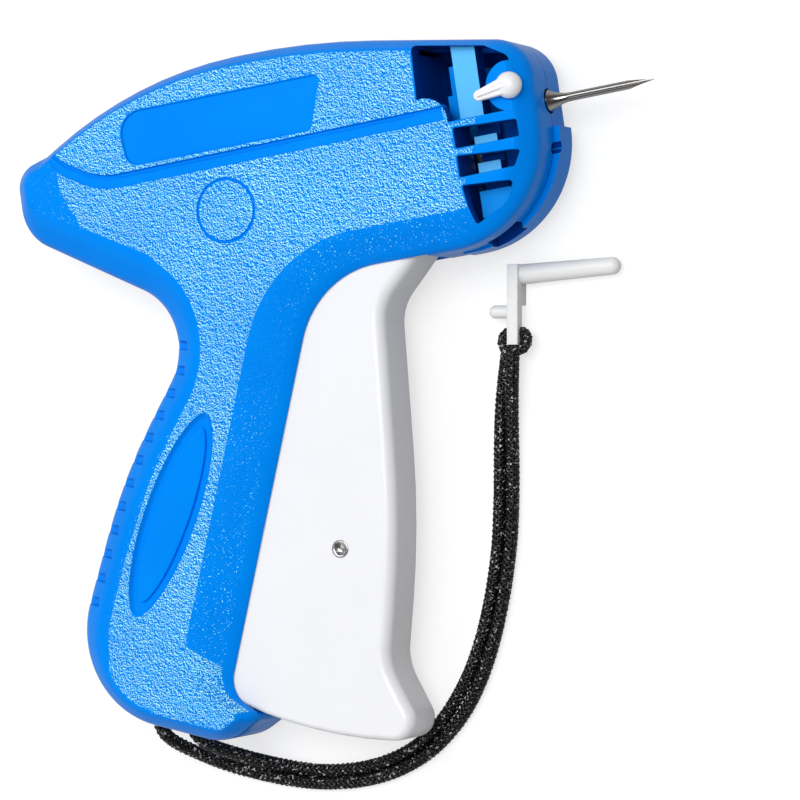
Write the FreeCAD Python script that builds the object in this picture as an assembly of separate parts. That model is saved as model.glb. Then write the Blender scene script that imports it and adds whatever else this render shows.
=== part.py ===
"""Garment tag attacher: a hand gun that drives a plastic fastener through a hollow needle.

Millimetres. The gun lies on its left side: +Z is its thickness, +X the way the needle
points, +Y the gun's top. All sizes below are in the gun's own frame, whose origin is the
needle's hole in the nose, on the left shell's outer face; place() moves the finished
pieces so that the origin is the middle of the gun's outline.
"""
import FreeCAD, Part
import math
import os

V = FreeCAD.Vector

# ---- Casing -----------------------------------------------------------------
THICKNESS = 24.0            # over both shells
PARTING = THICKNESS / 2     # height of the plane where the shells meet
WALL = 2.0
SHOULDER = 4.0              # drop of the sloping bands from the flat face to the side wall
RIM_ROUND = 2.0             # rounding where a band meets the side wall
FACE_ROUND = 1.5            # rounding where a band meets the flat face

# Outline of the casing, clockwise from the top of the nose. Each corner has its place, its
# radius at the parting plane, its radius on the flat face, and the width of the sloping
# band along the side that follows it.
OUTLINE = (
    (0.0, 12.6, 9.0, 6.0, 3.5),         # top of the nose
    (0.0, -28.0, 23.0, 17.0, 7.0),      # bottom of the nose
    (-55.0, -28.0, 20.4, 29.0, 10.0),   # arch over the trigger
    (-88.9, -113.3, 6.0, 9.0, 2.0),     # foot of the handle's front edge
    (-81.9, -119.0, 1.5, 1.0, 2.0),     # tip of the lip under the trigger
    (-91.6, -124.0, 11.0, 4.0, 3.0),    # bottom of the lip
    (-130.3, -110.1, 21.0, 16.0, 6.0),  # heel of the handle
    (-107.8, -63.3, 120.0, 126.0, 6.0),  # handle's back
    (-83.4, -32.3, 14.0, 20.0, 6.0),    # web of the hand
    (-123.9, -7.6, 10.0, 6.0, 4.0),     # underside of the tail
    (-123.9, 6.9, 6.0, 3.0, 3.0),       # tail
    (-115.4, 9.1, 1.0, 1.0, 2.5),       # step where the tail cap starts
    (-91.5, 22.0, 96.0, 93.0, 2.5),     # back of the top
    (-49.9, 22.0, 170.0, 167.0, 2.5),   # front of the top
)
BACK_SIDES = slice(6, 10)    # corners of OUTLINE along the handle's back
CHIN_X, CHIN_DROP = 1.4, 0.3    # how far the left shell's chin stands out under the needle
CHIN_TOP_Y = -5.4
CORE_ROOT = 1.0             # how far ribs and bosses run into the wall that carries them

# ---- Needle and its lock ----------------------------------------------------
NEEDLE_D = 1.9
NEEDLE_BORE = 1.45
NEEDLE_TIP_X = 23.9
NEEDLE_POINT = 8.0          # length of the hollow-ground point
NEEDLE_SIDES = 6.3          # length of the two side grinds
NEEDLE_TIP_T = 0.26         # thickness left at the very tip
NEEDLE_SLOT = 0.6           # slot along the needle's far side, for the fastener's thread
NEEDLE_CONE_D = 4.7
NEEDLE_CONE = 4.6           # length of the flared root outside the nose
NEEDLE_BACK_X = -9.0
NOSE_X = (-3.5, 4.0)        # span of the cutters that go through the nose's front wall
NOSE_HOLE_D = 5.4
NOSE_NOTCH_Y, NOSE_NOTCH_R = -9.9, 1.2      # where a lever reaches in to part the shells
HUB_SLOT = 0.8
HUB_SIZE = 5.2              # square of the needle's plastic hub
HUB_FRONT_X, HUB_BACK_X = -2.3, -8.4
LOCK_X, LOCK_Y = -3.6, 3.1  # axis of the needle lock
LOCK_SHAFT_R = 1.6
LOCK_DOME_R = 2.8
LOCK_BOSS_R = 5.3
LOCK_ARM = 7.6              # from the lock's axis to the arm's end
LOCK_ARM_ANGLE = 190.0      # degrees from +X
LOCK_ARM_R = (1.9, 1.15)    # of the arm at its root and its end
LOCK_RIDGE_R = (0.5, 0.4)
LOCK_ARM_Z = (0.5, 2.0)     # above the knob's underside
LOCK_HEIGHT = 2.3
LOCK_BOTTOM_Z = 8.0
LOCK_BOSS_Z = 15.2
CAM_FLAT = 0.4              # from the lock's axis to the flat on its shaft
SCREW_PLAY = 0.2
PIN_SEAT = 0.4              # how far pins reach into the shells' walls
RUNNING = 0.05              # radial clearance of a pin in a hole that turns on it
SNUG = 0.02                 # radial clearance of a pin that stays in its hole
GAP = 0.3                   # clearance between pieces that pass each other

# ---- Trigger, a hollow lever that swings on a pin in the nose ----------------
TRIGGER_X, TRIGGER_Y = -34.2, -20.0
TRIGGER_SWING = 18.0        # degrees
TRIGGER_WIDTH = 14.0
TRIGGER_WALL = 2.0
TRIGGER_HUB_R = 7.0
TRIGGER_EDGE = 2.6          # rounding of its front edges
TRIGGER_FOOT_R = 109.7      # swept room that its foot needs about its pivot
TRIGGER_OPEN = 6.0          # how far its hollow runs out past the open sides in the handle
# Outline from the hub down the front and back up inside the handle: place, radius, radius
# of the hollow inside it, inset of the hollow along the side that follows.
TRIGGER_OUTLINE = (
    (-29.4, -25.1, 0.3, 0.3, TRIGGER_WALL),
    (-41.6, -36.65, 10.0, 12.0, TRIGGER_WALL),
    (-45.0, -83.5, 200.0, 198.0, TRIGGER_WALL),
    (-51.8, -111.6, 12.0, 14.0, TRIGGER_WALL),
    (-45.2, -129.1, 4.5, 2.5, TRIGGER_WALL),
    (-71.1, -124.9, 100.0, 98.0, TRIGGER_WALL),
    (-91.4, -113.4, 1.0, 0.4, -TRIGGER_OPEN),
    (-58.0, -25.2, 8.0, 4.0, -TRIGGER_OPEN),
    (-36.0, -13.3, 0.3, 0.3, -TRIGGER_OPEN),
)
# Gap in both shells that the trigger swings through: place, radius.
TRIGGER_ROOM = (
    (-29.2, -20.0, 0.2), (-29.2, -140.0, 0.2), (-100.0, -140.0, 0.2), (-97.0, -112.0, 0.2),
    (-64.6, -31.0, 20.0), (-44.0, -20.0, 5.0),
)
PIVOT_BOSS_R = 3.4
TRIGGER_PIN_X, TRIGGER_PIN_Y = -58.7, -86.1
PIN_R = 1.5                 # of the steel pins
RIVET_R = 1.9               # of the trigger pin's heads
RIVET_H = 0.7               # the heads are sunk flush into the cheeks
RIVET_ROUND = 0.2
RIVET_CUP_R, RIVET_CUP = 0.8, 0.5

# ---- Drive lever and its bracket ---------------------------------------------
LEVER_X, LEVER_Y = -74.5, -56.5
LEVER_THICK = 4.0
LEVER_HUB_R = 5.5
LEVER_TOP_R = 4.6
LEVER_FOOT_R = 4.6
LEVER_SWING = 38.6          # degrees over the trigger's whole swing
SLOT_CLEARANCE = 0.25
BRACKET_T = 1.5
BRACKET_R = 4.6
BRACKET_POSTS = ((-87.7, -48.7), (-94.0, -57.0))
BRACKET_POST_R = 2.4
BRACKET_HALF = 7.8          # half length of the bracket's tubes
POST_PIN_R = 1.25
LEVER_RECESS = (0.18, 0.62)     # share of the way from the lever's pivot to the slide's pin
LEVER_RECESS_R, LEVER_RECESS_D = 2.0, 0.8

# ---- Ejector: slide, rod and return spring on the needle's axis ---------------
STROKE = 34.0
SLIDE_BACK_X, SLIDE_FRONT_X = -100.0, -75.0
SLIDE_H = 9.0
SLIDE_W = 9.0
TONGUE_H = 3.0              # side tongues that run in the shells' rails
TONGUE_W = 14.8
SLIDE_PIN_X, SLIDE_PIN_Y = -91.5, -8.0
EAR_R = 4.0
ROD_R = 0.65
ROD_TIP_X = -15.6
ROD_SEAT = 8.0              # length of rod held in the slide
RAIL_X = (-108.0, -30.0)
RAIL_T = 1.5
RAIL_LAP = 2.6              # how far the rails reach over the tongue's sides
SPRING_WIRE = 0.8
SPRING_R = 2.4
SPRING_TURNS = 13
SPRING_SEAT_X = -26.2       # face of the wall that the spring pushes against
SEAT_T, SEAT_Y, SEAT_DROP = 1.6, (-2.2, 14.0), 4.0      # thickness, span, depth below the parting
SPRING_PLAY = 0.1

# ---- Fastener feed -----------------------------------------------------------
CHANNEL_X = (-15.0, -9.9)   # fasteners pass down through this slot
CHANNEL_Z = (9.2, 15.0)
CHANNEL_TOP_Y = 20.0
EXIT_X, EXIT_Y = -17.2, (-31.0, -20.5)      # mouth below the nose for the spent strip
GUIDE_X = (-20.4, -15.2)
GUIDE_Y = (-21.6, 14.2)
GUIDE_TOP_Z = 14.0
GUIDE_RIB = (2.6, 11.5, 1.4, 3.0)       # low rib behind the guide: span, width, drop
GUIDE_STEP = (5.5, 14.2, 0.7, 1.2)      # high rib between them
WHEEL_R = 6.3
TOOTH = 1.6                 # depth of a tooth
TOOTH_GAP = (0.6, 1.35)     # half width of the gap at its root and its mouth
WHEEL_ROOT_R = WHEEL_R - TOOTH
DETENT_T = 0.4
DETENT_X, DETENT_FOOT = -29.2, 1.8
DETENT_Y = -(SPRING_R + SPRING_WIRE / 2 + GAP + DETENT_T)
WHEEL_X, WHEEL_Y = -21.6, DETENT_Y - GAP - WHEEL_R
WHEEL_Z = (8.8, 11.8)
WHEEL_TEETH = 12
WHEEL_BOSS_R = 2.4
AXLE_R = 1.0
PAWL_TIP_R = math.hypot(WHEEL_X - TRIGGER_X, WHEEL_Y - TRIGGER_Y) - WHEEL_ROOT_R - 2 * GAP
PAWL_HUB_R = 3.4
# Half widths of the pawl's finger at its root, before its tip and at its tip; its thickness.
PAWL_HALVES, PAWL_TAPER, PAWL_T = (1.6, 1.0, 0.35), 2.1, 2.2
KNIFE_T, KNIFE_Y, KNIFE_BEVEL = 0.6, -5.2, 0.9

# ---- Windows in the right shell's nose ----------------------------------------
WINDOW_DEPTH = 3.0
WINDOWS = (
    ((-24.3, 15.6, 0.6), (-8.6, 12.6, 2.5), (-3.3, 9.4, 2.5), (-3.1, -1.8, 0.4), (-24.9, -1.8, 0.4)),
    ((-17.5, -3.3, 0.4), (-3.3, -4.0, 0.4), (-3.3, -7.6, 0.4), (-17.5, -7.6, 0.4)),
    ((-17.5, -9.2, 0.4), (-3.6, -10.2, 0.4), (-5.3, -13.5, 0.8), (-17.5, -13.7, 0.4)),
    ((-17.3, -15.5, 0.4), (-6.2, -16.1, 0.6), (-8.6, -20.4, 6.0), (-16.0, -23.9, 0.5)),
)
HUMP_X, HUMP_Y, HUMP_R = -23.6, -1.2, 5.2   # rounded corner left standing in the top window
# Thick part of the right shell that the windows go through.
SILL = (
    (-25.6, 17.0, 1.0), (-1.6, 14.5, 4.0), (-1.6, -20.0, 8.0), (-14.0, -26.0, 1.0),
    (-19.2, -24.0, 1.0), (-19.2, -3.0, 1.0), (-25.6, -3.0, 1.0),
)
SILL_DROP = 0.6             # of the sill's own top below the flat face, inside the wall
WINDOW_RIB_X, WINDOW_RIB_Y = (-19.1, -17.5), (-22.6, -2.2)

# ---- Shallow features on the faces --------------------------------------------
GROOVE_PATH = ((-114.8, 12.5, 1.0), (-110.3, 6.0, 10.0), (-101.0, 0.9, 16.0), (-19.3, 1.2, 1.0))
GROOVE_W, GROOVE_D = 0.9, 0.7
BELT_DROP, BELT_W, BELT_D = 1.45, 2.0, 0.25  # smooth strip under the groove
PLATE = ((-95.2, 14.1, 5.0), (-46.0, 13.6, 1.2), (-49.8, 2.4, 1.2), (-93.9, 2.6, 3.0))
PLATE_D = 0.5
MEDAL_X, MEDAL_Y, MEDAL_R = -72.0, -11.0, 7.0
MEDAL_W, MEDAL_D = 0.5, 0.35
LEAF_X, LEAF_Y, LEAF_ANGLE = -95.2, -73.6, 59.7
LEAF_L, LEAF_W, LEAF_D = 46.0, 12.0, 0.8
LEAF_PAD_INSET, LEAF_PAD_H = 2.0, 0.4
NOTCH_PITCH, NOTCH_COUNT, NOTCH_R, NOTCH_L = 4.95, 12, 1.1, 3.2
NOTCH_START = (-93.1, -44.7)
NOTCH_SLOPE = SHOULDER / 6.0

# ---- Screws, strap, tool --------------------------------------------------------
SCREWS = ((-114.5, -0.5), (-68.0, 12.6), (-31.5, 10.6), (-104.5, -11.6), (-115.4, -100.8))
BOSS_R = 3.2
SCREW_R = 1.2
SCREW_HEAD_R, SCREW_HEAD_H = 2.5, 1.6
SCREW_SUNK = 0.8            # of the heads below the left face
CROSS_L, CROSS_W, CROSS_D = 1.4, 0.3, 0.8       # half length, half width, depth
STRAP_D = 2.8
STRAP_SLOT_X, STRAP_SLOT_Y = (-113.2, -101.2), (-124.0, -109.0)
STRAP_SLOT_H = 1.8          # half height
KNOT_IN = (-107.3, -109.9, 12.0)
KNOT_IN_R = 3.7
KNOT_OUT = (-19.5, -47.6, 2.9)
KNOT_OUT_SIZE = (7.6, 6.0, 5.2)
STRAND_OUTER = (
    (-109.6, -111.0, 12.0), (-111.2, -116.6, 12.0), (-111.2, -120.1, 10.6), (-109.9, -122.7, 7.6),
    (-107.2, -125.2, 4.6), (-103.2, -128.0, 2.2), (-97.6, -130.5, 1.4), (-89.0, -133.4, 1.4),
    (-79.6, -135.6, 1.4), (-69.0, -136.3, 1.4), (-58.8, -134.7, 1.4), (-49.3, -130.2, 1.4),
    (-41.0, -122.4, 1.4), (-34.8, -112.0, 1.4), (-30.2, -100.6, 1.4), (-26.8, -89.4, 1.4),
    (-24.7, -78.4, 1.4), (-23.1, -68.0, 1.8), (-21.4, -59.2, 3.1), (-19.3, -49.6, 3.8),
)
STRAND_INNER = (
    (-105.0, -111.2, 12.0), (-103.6, -119.0, 12.0), (-102.2, -122.4, 11.2), (-100.4, -124.4, 8.8),
    (-97.6, -126.4, 5.4), (-93.6, -128.5, 2.4), (-87.4, -130.5, 1.4), (-80.0, -132.4, 1.4),
    (-71.5, -133.4, 1.4), (-62.0, -132.5, 1.4), (-53.2, -128.8, 1.4), (-45.1, -121.5, 1.4),
    (-38.7, -111.8, 1.4), (-33.9, -101.0, 1.4), (-30.2, -89.8, 1.4), (-28.0, -78.8, 1.4),
    (-26.3, -68.6, 1.4), (-24.3, -59.0, 1.4), (-21.5, -49.8, 1.6),
)
RUN_SHARE = 0.45            # share of the shorter run that an arc takes up at either side
TOOL_X, TOOL_Y = -18.8, -48.4   # foot of the tool's stem
TOOL_TILT = 8.8                 # degrees its stem leans from +Y towards +X
TOOL_STEM_W, TOOL_STEM_H, TOOL_STEM_T = 2.4, 17.1, 5.0
TOOL_TONGUE_H, TOOL_TONGUE_T = 9.0, 2.6
TOOL_ARM_R1, TOOL_ARM_R2, TOOL_ARM_L = 2.2, 1.85, 23.4
TOOL_ARM_RISE = 4.3             # degrees
TOOL_ARM_BACK, TOOL_ARM_TOP = 0.3, 0.1      # of the arm's root from the stem's axis and its top
TOOL_PEG_R, TOOL_PEG_L, TOOL_PEG_Y = 1.4, 5.7, 7.0
TOOL_EDGE = 0.5


# ================================ helpers ======================================

def turn_side(a, p, b):
    """Positive where the outline turns left at p."""
    return (p.x - a.x) * (b.y - p.y) - (p.y - a.y) * (b.x - p.x)


def inset_corners(points, insets):
    """Corners of a clockwise outline after each side has moved inwards by its inset."""
    moved = []
    for i, p in enumerate(points):
        before = (p - points[i - 1]).normalize()
        after = (points[(i + 1) % len(points)] - p).normalize()
        q1 = p + V(before.y, -before.x, 0) * insets[i - 1]
        q2 = p + V(after.y, -after.x, 0) * insets[i]
        cross = before.x * after.y - before.y * after.x
        t = ((q2 - q1).x * after.y - (q2 - q1).y * after.x) / cross
        moved.append(q1 + before * t)
    return moved


def rounded_edges(points, radii, z=0.0, closed=True):
    """Straight sides joined by tangent arcs of the given radii."""
    up = V(0, 0, z)
    last = len(points) - 1
    starts, ends, arcs = [], [], []
    for i, p in enumerate(points):
        if not closed and i in (0, last):
            starts.append(p)
            ends.append(p)
            arcs.append(None)
            continue
        back = (points[i - 1] - p).normalize()
        on = (points[(i + 1) % len(points)] - p).normalize()
        half = back.getAngle(on) / 2
        reach = radii[i] / math.tan(half)
        bisector = (back + on).normalize()
        middle = p + bisector * (radii[i] / math.sin(half) - radii[i])
        starts.append(p + back * reach)
        ends.append(p + on * reach)
        arcs.append(Part.Arc(starts[i] + up, middle + up, ends[i] + up).toShape())
    edges = []
    for i in range(len(points)):
        if arcs[i]:
            edges.append(arcs[i])
        if closed or i < last:
            edges.append(Part.LineSegment(ends[i] + up, starts[(i + 1) % len(points)] + up).toShape())
    return edges


def plan(corners):
    """Points and radii of a list of (x, y, radius, ...) corners."""
    return [V(c[0], c[1], 0) for c in corners], [c[2] for c in corners]


def rounded_prism(corners, z0, z1):
    points, radii = plan(corners)
    face = Part.Face(Part.Wire(rounded_edges(points, radii, z0)))
    return face.extrude(V(0, 0, z1 - z0))


def box(x0, x1, y0, y1, z0, z1):
    return Part.makeBox(x1 - x0, y1 - y0, z1 - z0, V(x0, y0, z0))


def pillar(x, y, r, z0, z1):
    return Part.makeCylinder(r, z1 - z0, V(x, y, z0))


def bar_along_x(r, x0, x1, y=0.0, z=PARTING):
    return Part.makeCylinder(r, x1 - x0, V(x0, y, z), V(1, 0, 0))


def fuse(shapes):
    return shapes[0].multiFuse(shapes[1:]).removeSplitter()


def hull_plate(discs, z0, z1):
    """Plate whose outline wraps discs given as (x, y, radius), two or three of them."""
    pieces = [pillar(x, y, r, z0, z1) for x, y, r in discs]
    count = len(discs)
    for i in range(count if count > 2 else 1):
        x0, y0, r0 = discs[i]
        x1, y1, r1 = discs[(i + 1) % count]
        length = math.hypot(x1 - x0, y1 - y0)
        heading = math.atan2(y1 - y0, x1 - x0)
        lean = math.acos((r0 - r1) / length)
        rim = []
        for side in (1, -1):
            ray = heading + side * lean
            rim.append([V(x + r * math.cos(ray), y + r * math.sin(ray), z0)
                        for x, y, r in (discs[i], discs[(i + 1) % count])])
        loop = [rim[0][0], rim[0][1], rim[1][1], rim[1][0], rim[0][0]]
        pieces.append(Part.Face(Part.makePolygon(loop)).extrude(V(0, 0, z1 - z0)))
    if count > 2:
        loop = [V(x, y, z0) for x, y, r in discs]
        pieces.append(Part.Face(Part.makePolygon(loop + loop[:1])).extrude(V(0, 0, z1 - z0)))
    return fuse(pieces)


def turned(profile):
    """Solid of revolution about the needle's axis from (x, radius) points."""
    points = [V(x, 0, PARTING + r) for x, r in profile]
    axis = [V(profile[-1][0], 0, PARTING), V(profile[0][0], 0, PARTING)]
    face = Part.Face(Part.makePolygon(points + axis + points[:1]))
    return face.revolve(V(0, 0, PARTING), V(1, 0, 0), 360)


def swept_slot(places, radius, z0, z1):
    """Slot that a pin of the given radius clears as it goes through these places."""
    pieces = []
    for a, b in zip(places[:-1], places[1:]):
        pieces.append(hull_plate([(a.x, a.y, radius), (b.x, b.y, radius)], z0, z1))
    return pieces[0].multiFuse(pieces[1:])


def spun(point, centre, degrees):
    """The point after a turn about a centre, positive anticlockwise."""
    a = math.radians(degrees)
    x, y = point.x - centre.x, point.y - centre.y
    return V(centre.x + x * math.cos(a) - y * math.sin(a), centre.y + x * math.sin(a) + y * math.cos(a), 0)


# ================================ casing =======================================

def casing_ring(slope, wall, z):
    """Outline at height z: slope runs from 0 at the side wall to 1 at the flat face."""
    points, _ = plan(OUTLINE)
    insets = [slope * corner[4] + wall for corner in OUTLINE]
    radii = []
    for i, corner in enumerate(OUTLINE):
        radius = corner[2] + slope * (corner[3] - corner[2])
        hollow = turn_side(points[i - 1], points[i], points[(i + 1) % len(points)]) > 0
        radii.append(radius + wall if hollow else max(radius - wall, 0.4))
    return Part.Wire(rounded_edges(inset_corners(points, insets), radii, z))


def casing_half(wall=0.0):
    """Upper half of the casing's solid form, or of its hollow when wall isn't nil."""
    top = THICKNESS - wall
    edge = THICKNESS - SHOULDER - 0.6 * wall
    lower = Part.Face(casing_ring(0, wall, PARTING)).extrude(V(0, 0, edge - PARTING))
    upper = Part.makeLoft([casing_ring(0, wall, edge), casing_ring(1, wall, top)], True, True)
    form = lower.fuse(upper).removeSplitter()
    if wall:
        return form
    for z, radius in ((edge, RIM_ROUND), (top, FACE_ROUND)):
        level = [e for e in form.Edges
                 if abs(e.BoundBox.ZMin - z) < 1e-3 and abs(e.BoundBox.ZMax - z) < 1e-3]
        form = form.makeFillet(radius, level)
    return form


def back_notches():
    """Grip notches across the band along the handle's back, on the upper half."""
    points, radii = plan(OUTLINE[BACK_SIDES])
    edges = rounded_edges(points, radii, 0.0, False)
    path = Part.Wire(edges)
    places = [p for p in reversed(path.discretize(Distance=NOTCH_PITCH / 10))]
    cutters = []
    start = V(*NOTCH_START, 0)
    near = min(range(len(places)), key=lambda i: places[i].distanceToPoint(start))
    lead = NOTCH_R / 2
    for k in range(NOTCH_COUNT):
        i = near + 10 * k
        p, q = places[i], places[i + 1]
        along = (q - p).normalize()
        inward = V(-along.y, along.x, 0)
        base = p - inward * lead + V(0, 0, THICKNESS - SHOULDER)
        cutters.append(Part.makeCylinder(NOTCH_R, NOTCH_L + lead, base, inward + V(0, 0, NOTCH_SLOPE)))
    return cutters


def groove_band(offset, width, depth, z_top):
    """Strip that follows the groove's path, shifted down by offset."""
    points, radii = plan(GROOVE_PATH)
    shifted = [p - V(0, offset, 0) for p in points]
    rims = []
    for side in (0.5, -0.5):
        rims.append(rounded_edges([p + V(0, side * width, 0) for p in shifted], radii, z_top - depth, False))
    far = Part.LineSegment(rims[0][-1].Vertexes[-1].Point, rims[1][-1].Vertexes[-1].Point).toShape()
    near = Part.LineSegment(rims[0][0].Vertexes[0].Point, rims[1][0].Vertexes[0].Point).toShape()
    wire = Part.Wire(Part.__sortEdges__(rims[0] + rims[1] + [far, near]))
    return Part.Face(wire).extrude(V(0, 0, depth + 3))


def leaf(inset, z0, z1):
    """Pointed oval whose sides are two arcs."""
    half, rise = LEAF_L / 2 - inset * 1.9, LEAF_W / 2 - inset
    tips = [V(-half, 0, z0), V(half, 0, z0)]
    arcs = [Part.Arc(tips[0], V(0, side * rise, z0), tips[1]).toShape() for side in (1, -1)]
    shape = Part.Face(Part.Wire(arcs)).extrude(V(0, 0, z1 - z0))
    blunt = Part.makeCylinder(half - 1.0, z1 - z0, V(0, 0, z0))
    shape = shape.common(blunt)
    shape.Placement = FreeCAD.Placement(V(LEAF_X, LEAF_Y, 0), FreeCAD.Rotation(V(0, 0, 1), LEAF_ANGLE))
    return shape


def leaf_recess():
    """Recess with a raised pad in its middle."""
    pad = leaf(LEAF_PAD_INSET, 0, THICKNESS - LEAF_D + LEAF_PAD_H)
    return leaf(0, THICKNESS - LEAF_D, THICKNESS + 1).cut(pad)


def trigger_room():
    """Where the trigger passes through the casing's front edge, through both shells."""
    half = TRIGGER_WIDTH / 2 + GAP
    z0, z1 = PARTING - half, PARTING + half
    sweep = pillar(TRIGGER_X, TRIGGER_Y, TRIGGER_FOOT_R + GAP, z0, z1)
    return rounded_prism(TRIGGER_ROOM, z0, z1).common(sweep)


def mirror_half(shape):
    """The same form on the left shell."""
    return shape.mirror(V(0, 0, PARTING), V(0, 0, 1))


def common_cuts():
    """Openings that both shells share, centred on the parting plane."""
    return [
        bar_along_x(NOSE_HOLE_D / 2, *NOSE_X),
        bar_along_x(NOSE_NOTCH_R, *NOSE_X, y=NOSE_NOTCH_Y),
        box(*CHANNEL_X, GUIDE_Y[1] - WALL, CHANNEL_TOP_Y, *CHANNEL_Z),
        box(EXIT_X, CHANNEL_X[1], *EXIT_Y, *CHANNEL_Z),
        box(*STRAP_SLOT_X, *STRAP_SLOT_Y, PARTING - STRAP_SLOT_H, PARTING + STRAP_SLOT_H),
        trigger_room(),
    ]


def rails(z0, z1):
    """Pair of ribs that the slide's tongue runs between, on one shell."""
    near = TONGUE_H / 2 + GAP
    return [box(RAIL_X[0], RAIL_X[1], *sorted((s * near, s * (near + RAIL_T))), z0, z1) for s in (1, -1)]


def right_shell():
    inner = THICKNESS - WALL
    root = inner + CORE_ROOT
    rail_z = PARTING + TONGUE_W / 2 - RAIL_LAP
    walls = [box(SPRING_SEAT_X, SPRING_SEAT_X + SEAT_T, *SEAT_Y, PARTING, root),
             box(*WINDOW_RIB_X, *WINDOW_RIB_Y, GUIDE_TOP_Z + GAP, root),
             pillar(LOCK_X, LOCK_Y, LOCK_BOSS_R, LOCK_BOSS_Z, THICKNESS)]
    walls += rails(rail_z, root)
    walls += [pillar(x, y, BOSS_R, PARTING, root) for x, y in SCREWS]
    walls.append(pillar(TRIGGER_X, TRIGGER_Y, PIVOT_BOSS_R, PARTING + TRIGGER_WIDTH / 2 + GAP, root))
    walls += [pillar(x, y, BRACKET_POST_R, PARTING + BRACKET_HALF, root) for x, y in BRACKET_POSTS]
    depth = THICKNESS - WINDOW_DEPTH
    walls.append(rounded_prism(SILL, depth, THICKNESS - SILL_DROP))
    seat_foot = box(SPRING_SEAT_X, SPRING_SEAT_X + SEAT_T, *SEAT_Y, PARTING - SEAT_DROP, PARTING + CORE_ROOT)
    inside = fuse(walls).common(casing_half(WALL - CORE_ROOT))
    shell = casing_half().cut(casing_half(WALL)).fuse(inside).fuse(seat_foot)
    cuts = common_cuts() + back_notches()
    for index, corners in enumerate(WINDOWS):
        opening = rounded_prism(corners, depth - GAP, THICKNESS + 1)
        if index == 0:
            opening = opening.cut(pillar(LOCK_X, LOCK_Y, LOCK_BOSS_R, 0, THICKNESS + 2))
            opening = opening.cut(pillar(HUMP_X, HUMP_Y, HUMP_R, 0, THICKNESS + 2))
        cuts.append(opening)
    cuts.append(groove_band(0.0, GROOVE_W, GROOVE_D, THICKNESS))
    cuts.append(groove_band(BELT_DROP, BELT_W, BELT_D, THICKNESS))
    cuts.append(rounded_prism(PLATE, THICKNESS - PLATE_D, THICKNESS + 1))
    ring = pillar(MEDAL_X, MEDAL_Y, MEDAL_R, THICKNESS - MEDAL_D, THICKNESS + 1)
    cuts.append(ring.cut(pillar(MEDAL_X, MEDAL_Y, MEDAL_R - MEDAL_W, 0, THICKNESS + 2)))
    cuts.append(leaf_recess())
    cuts.append(pillar(LOCK_X, LOCK_Y, LOCK_SHAFT_R + RUNNING, LOCK_BOSS_Z - 1, THICKNESS + 1))
    rod_room = (SPRING_SEAT_X - 1, SPRING_SEAT_X + SEAT_T + 1)
    cuts.append(bar_along_x(ROD_R + GAP, *rod_room))
    cuts.append(box(*rod_room, -ROD_R - GAP, ROD_R + GAP, PARTING - SEAT_DROP - 1, PARTING))
    cuts += [pillar(x, y, SCREW_R + SNUG, 0, inner - 1.0) for x, y in SCREWS]
    cuts.append(pillar(TRIGGER_X, TRIGGER_Y, PIN_R + SNUG, 0, inner + PIN_SEAT))
    cuts += [pillar(x, y, POST_PIN_R + SNUG, 0, inner + PIN_SEAT) for x, y in BRACKET_POSTS]
    return cut_all(shell, cuts)


def cut_all(shape, cuts):
    for cutter in cuts:
        shape = shape.cut(cutter)
    return shape


def left_shell():
    root = WALL - CORE_ROOT
    body = mirror_half(casing_half())
    chin = body.translated(V(CHIN_X, -CHIN_DROP, 0))
    body = body.fuse(chin.common(box(-24.0, 5.0, -40.0, CHIN_TOP_Y, 0.0, PARTING)))
    walls = rails(root, PARTING - TONGUE_W / 2 + RAIL_LAP)
    walls += [pillar(x, y, BOSS_R, root, PARTING) for x, y in SCREWS]
    walls.append(pillar(TRIGGER_X, TRIGGER_Y, PIVOT_BOSS_R, root, PARTING - TRIGGER_WIDTH / 2 - GAP))
    walls += [pillar(x, y, BRACKET_POST_R, root, PARTING - BRACKET_HALF) for x, y in BRACKET_POSTS]
    walls.append(box(SPRING_SEAT_X, SPRING_SEAT_X + SEAT_T, *SEAT_Y, root, PARTING - SEAT_DROP - GAP))
    walls.append(pillar(LOCK_X, LOCK_Y, BOSS_R, root, LOCK_BOTTOM_Z + 2 * GAP))
    walls.append(pillar(WHEEL_X, WHEEL_Y, WHEEL_BOSS_R, root, WHEEL_Z[0] - GAP))
    inside = fuse(walls).common(mirror_half(casing_half(WALL - CORE_ROOT)))
    shell = body.cut(mirror_half(casing_half(WALL))).fuse(inside)
    cuts = common_cuts() + [mirror_half(notch) for notch in back_notches()]
    cuts.append(mirror_half(groove_band(0.0, GROOVE_W, GROOVE_D, THICKNESS)))
    cuts.append(mirror_half(leaf_recess()))
    cuts.append(pillar(LOCK_X, LOCK_Y, LOCK_SHAFT_R + RUNNING, LOCK_BOTTOM_Z - GAP, PARTING - 1))
    for x, y in SCREWS:
        cuts.append(pillar(x, y, SCREW_R + SNUG, -1, PARTING + 1))
        cuts.append(pillar(x, y, SCREW_HEAD_R + SCREW_PLAY, -1, SCREW_SUNK + SCREW_HEAD_H))
    floor = WALL - PIN_SEAT
    cuts.append(pillar(TRIGGER_X, TRIGGER_Y, PIN_R + SNUG, floor, PARTING))
    cuts += [pillar(x, y, POST_PIN_R + SNUG, floor, PARTING) for x, y in BRACKET_POSTS]
    cuts.append(pillar(WHEEL_X, WHEEL_Y, AXLE_R + SNUG, WALL, WHEEL_Z[0]))
    return cut_all(shell, cuts)


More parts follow.
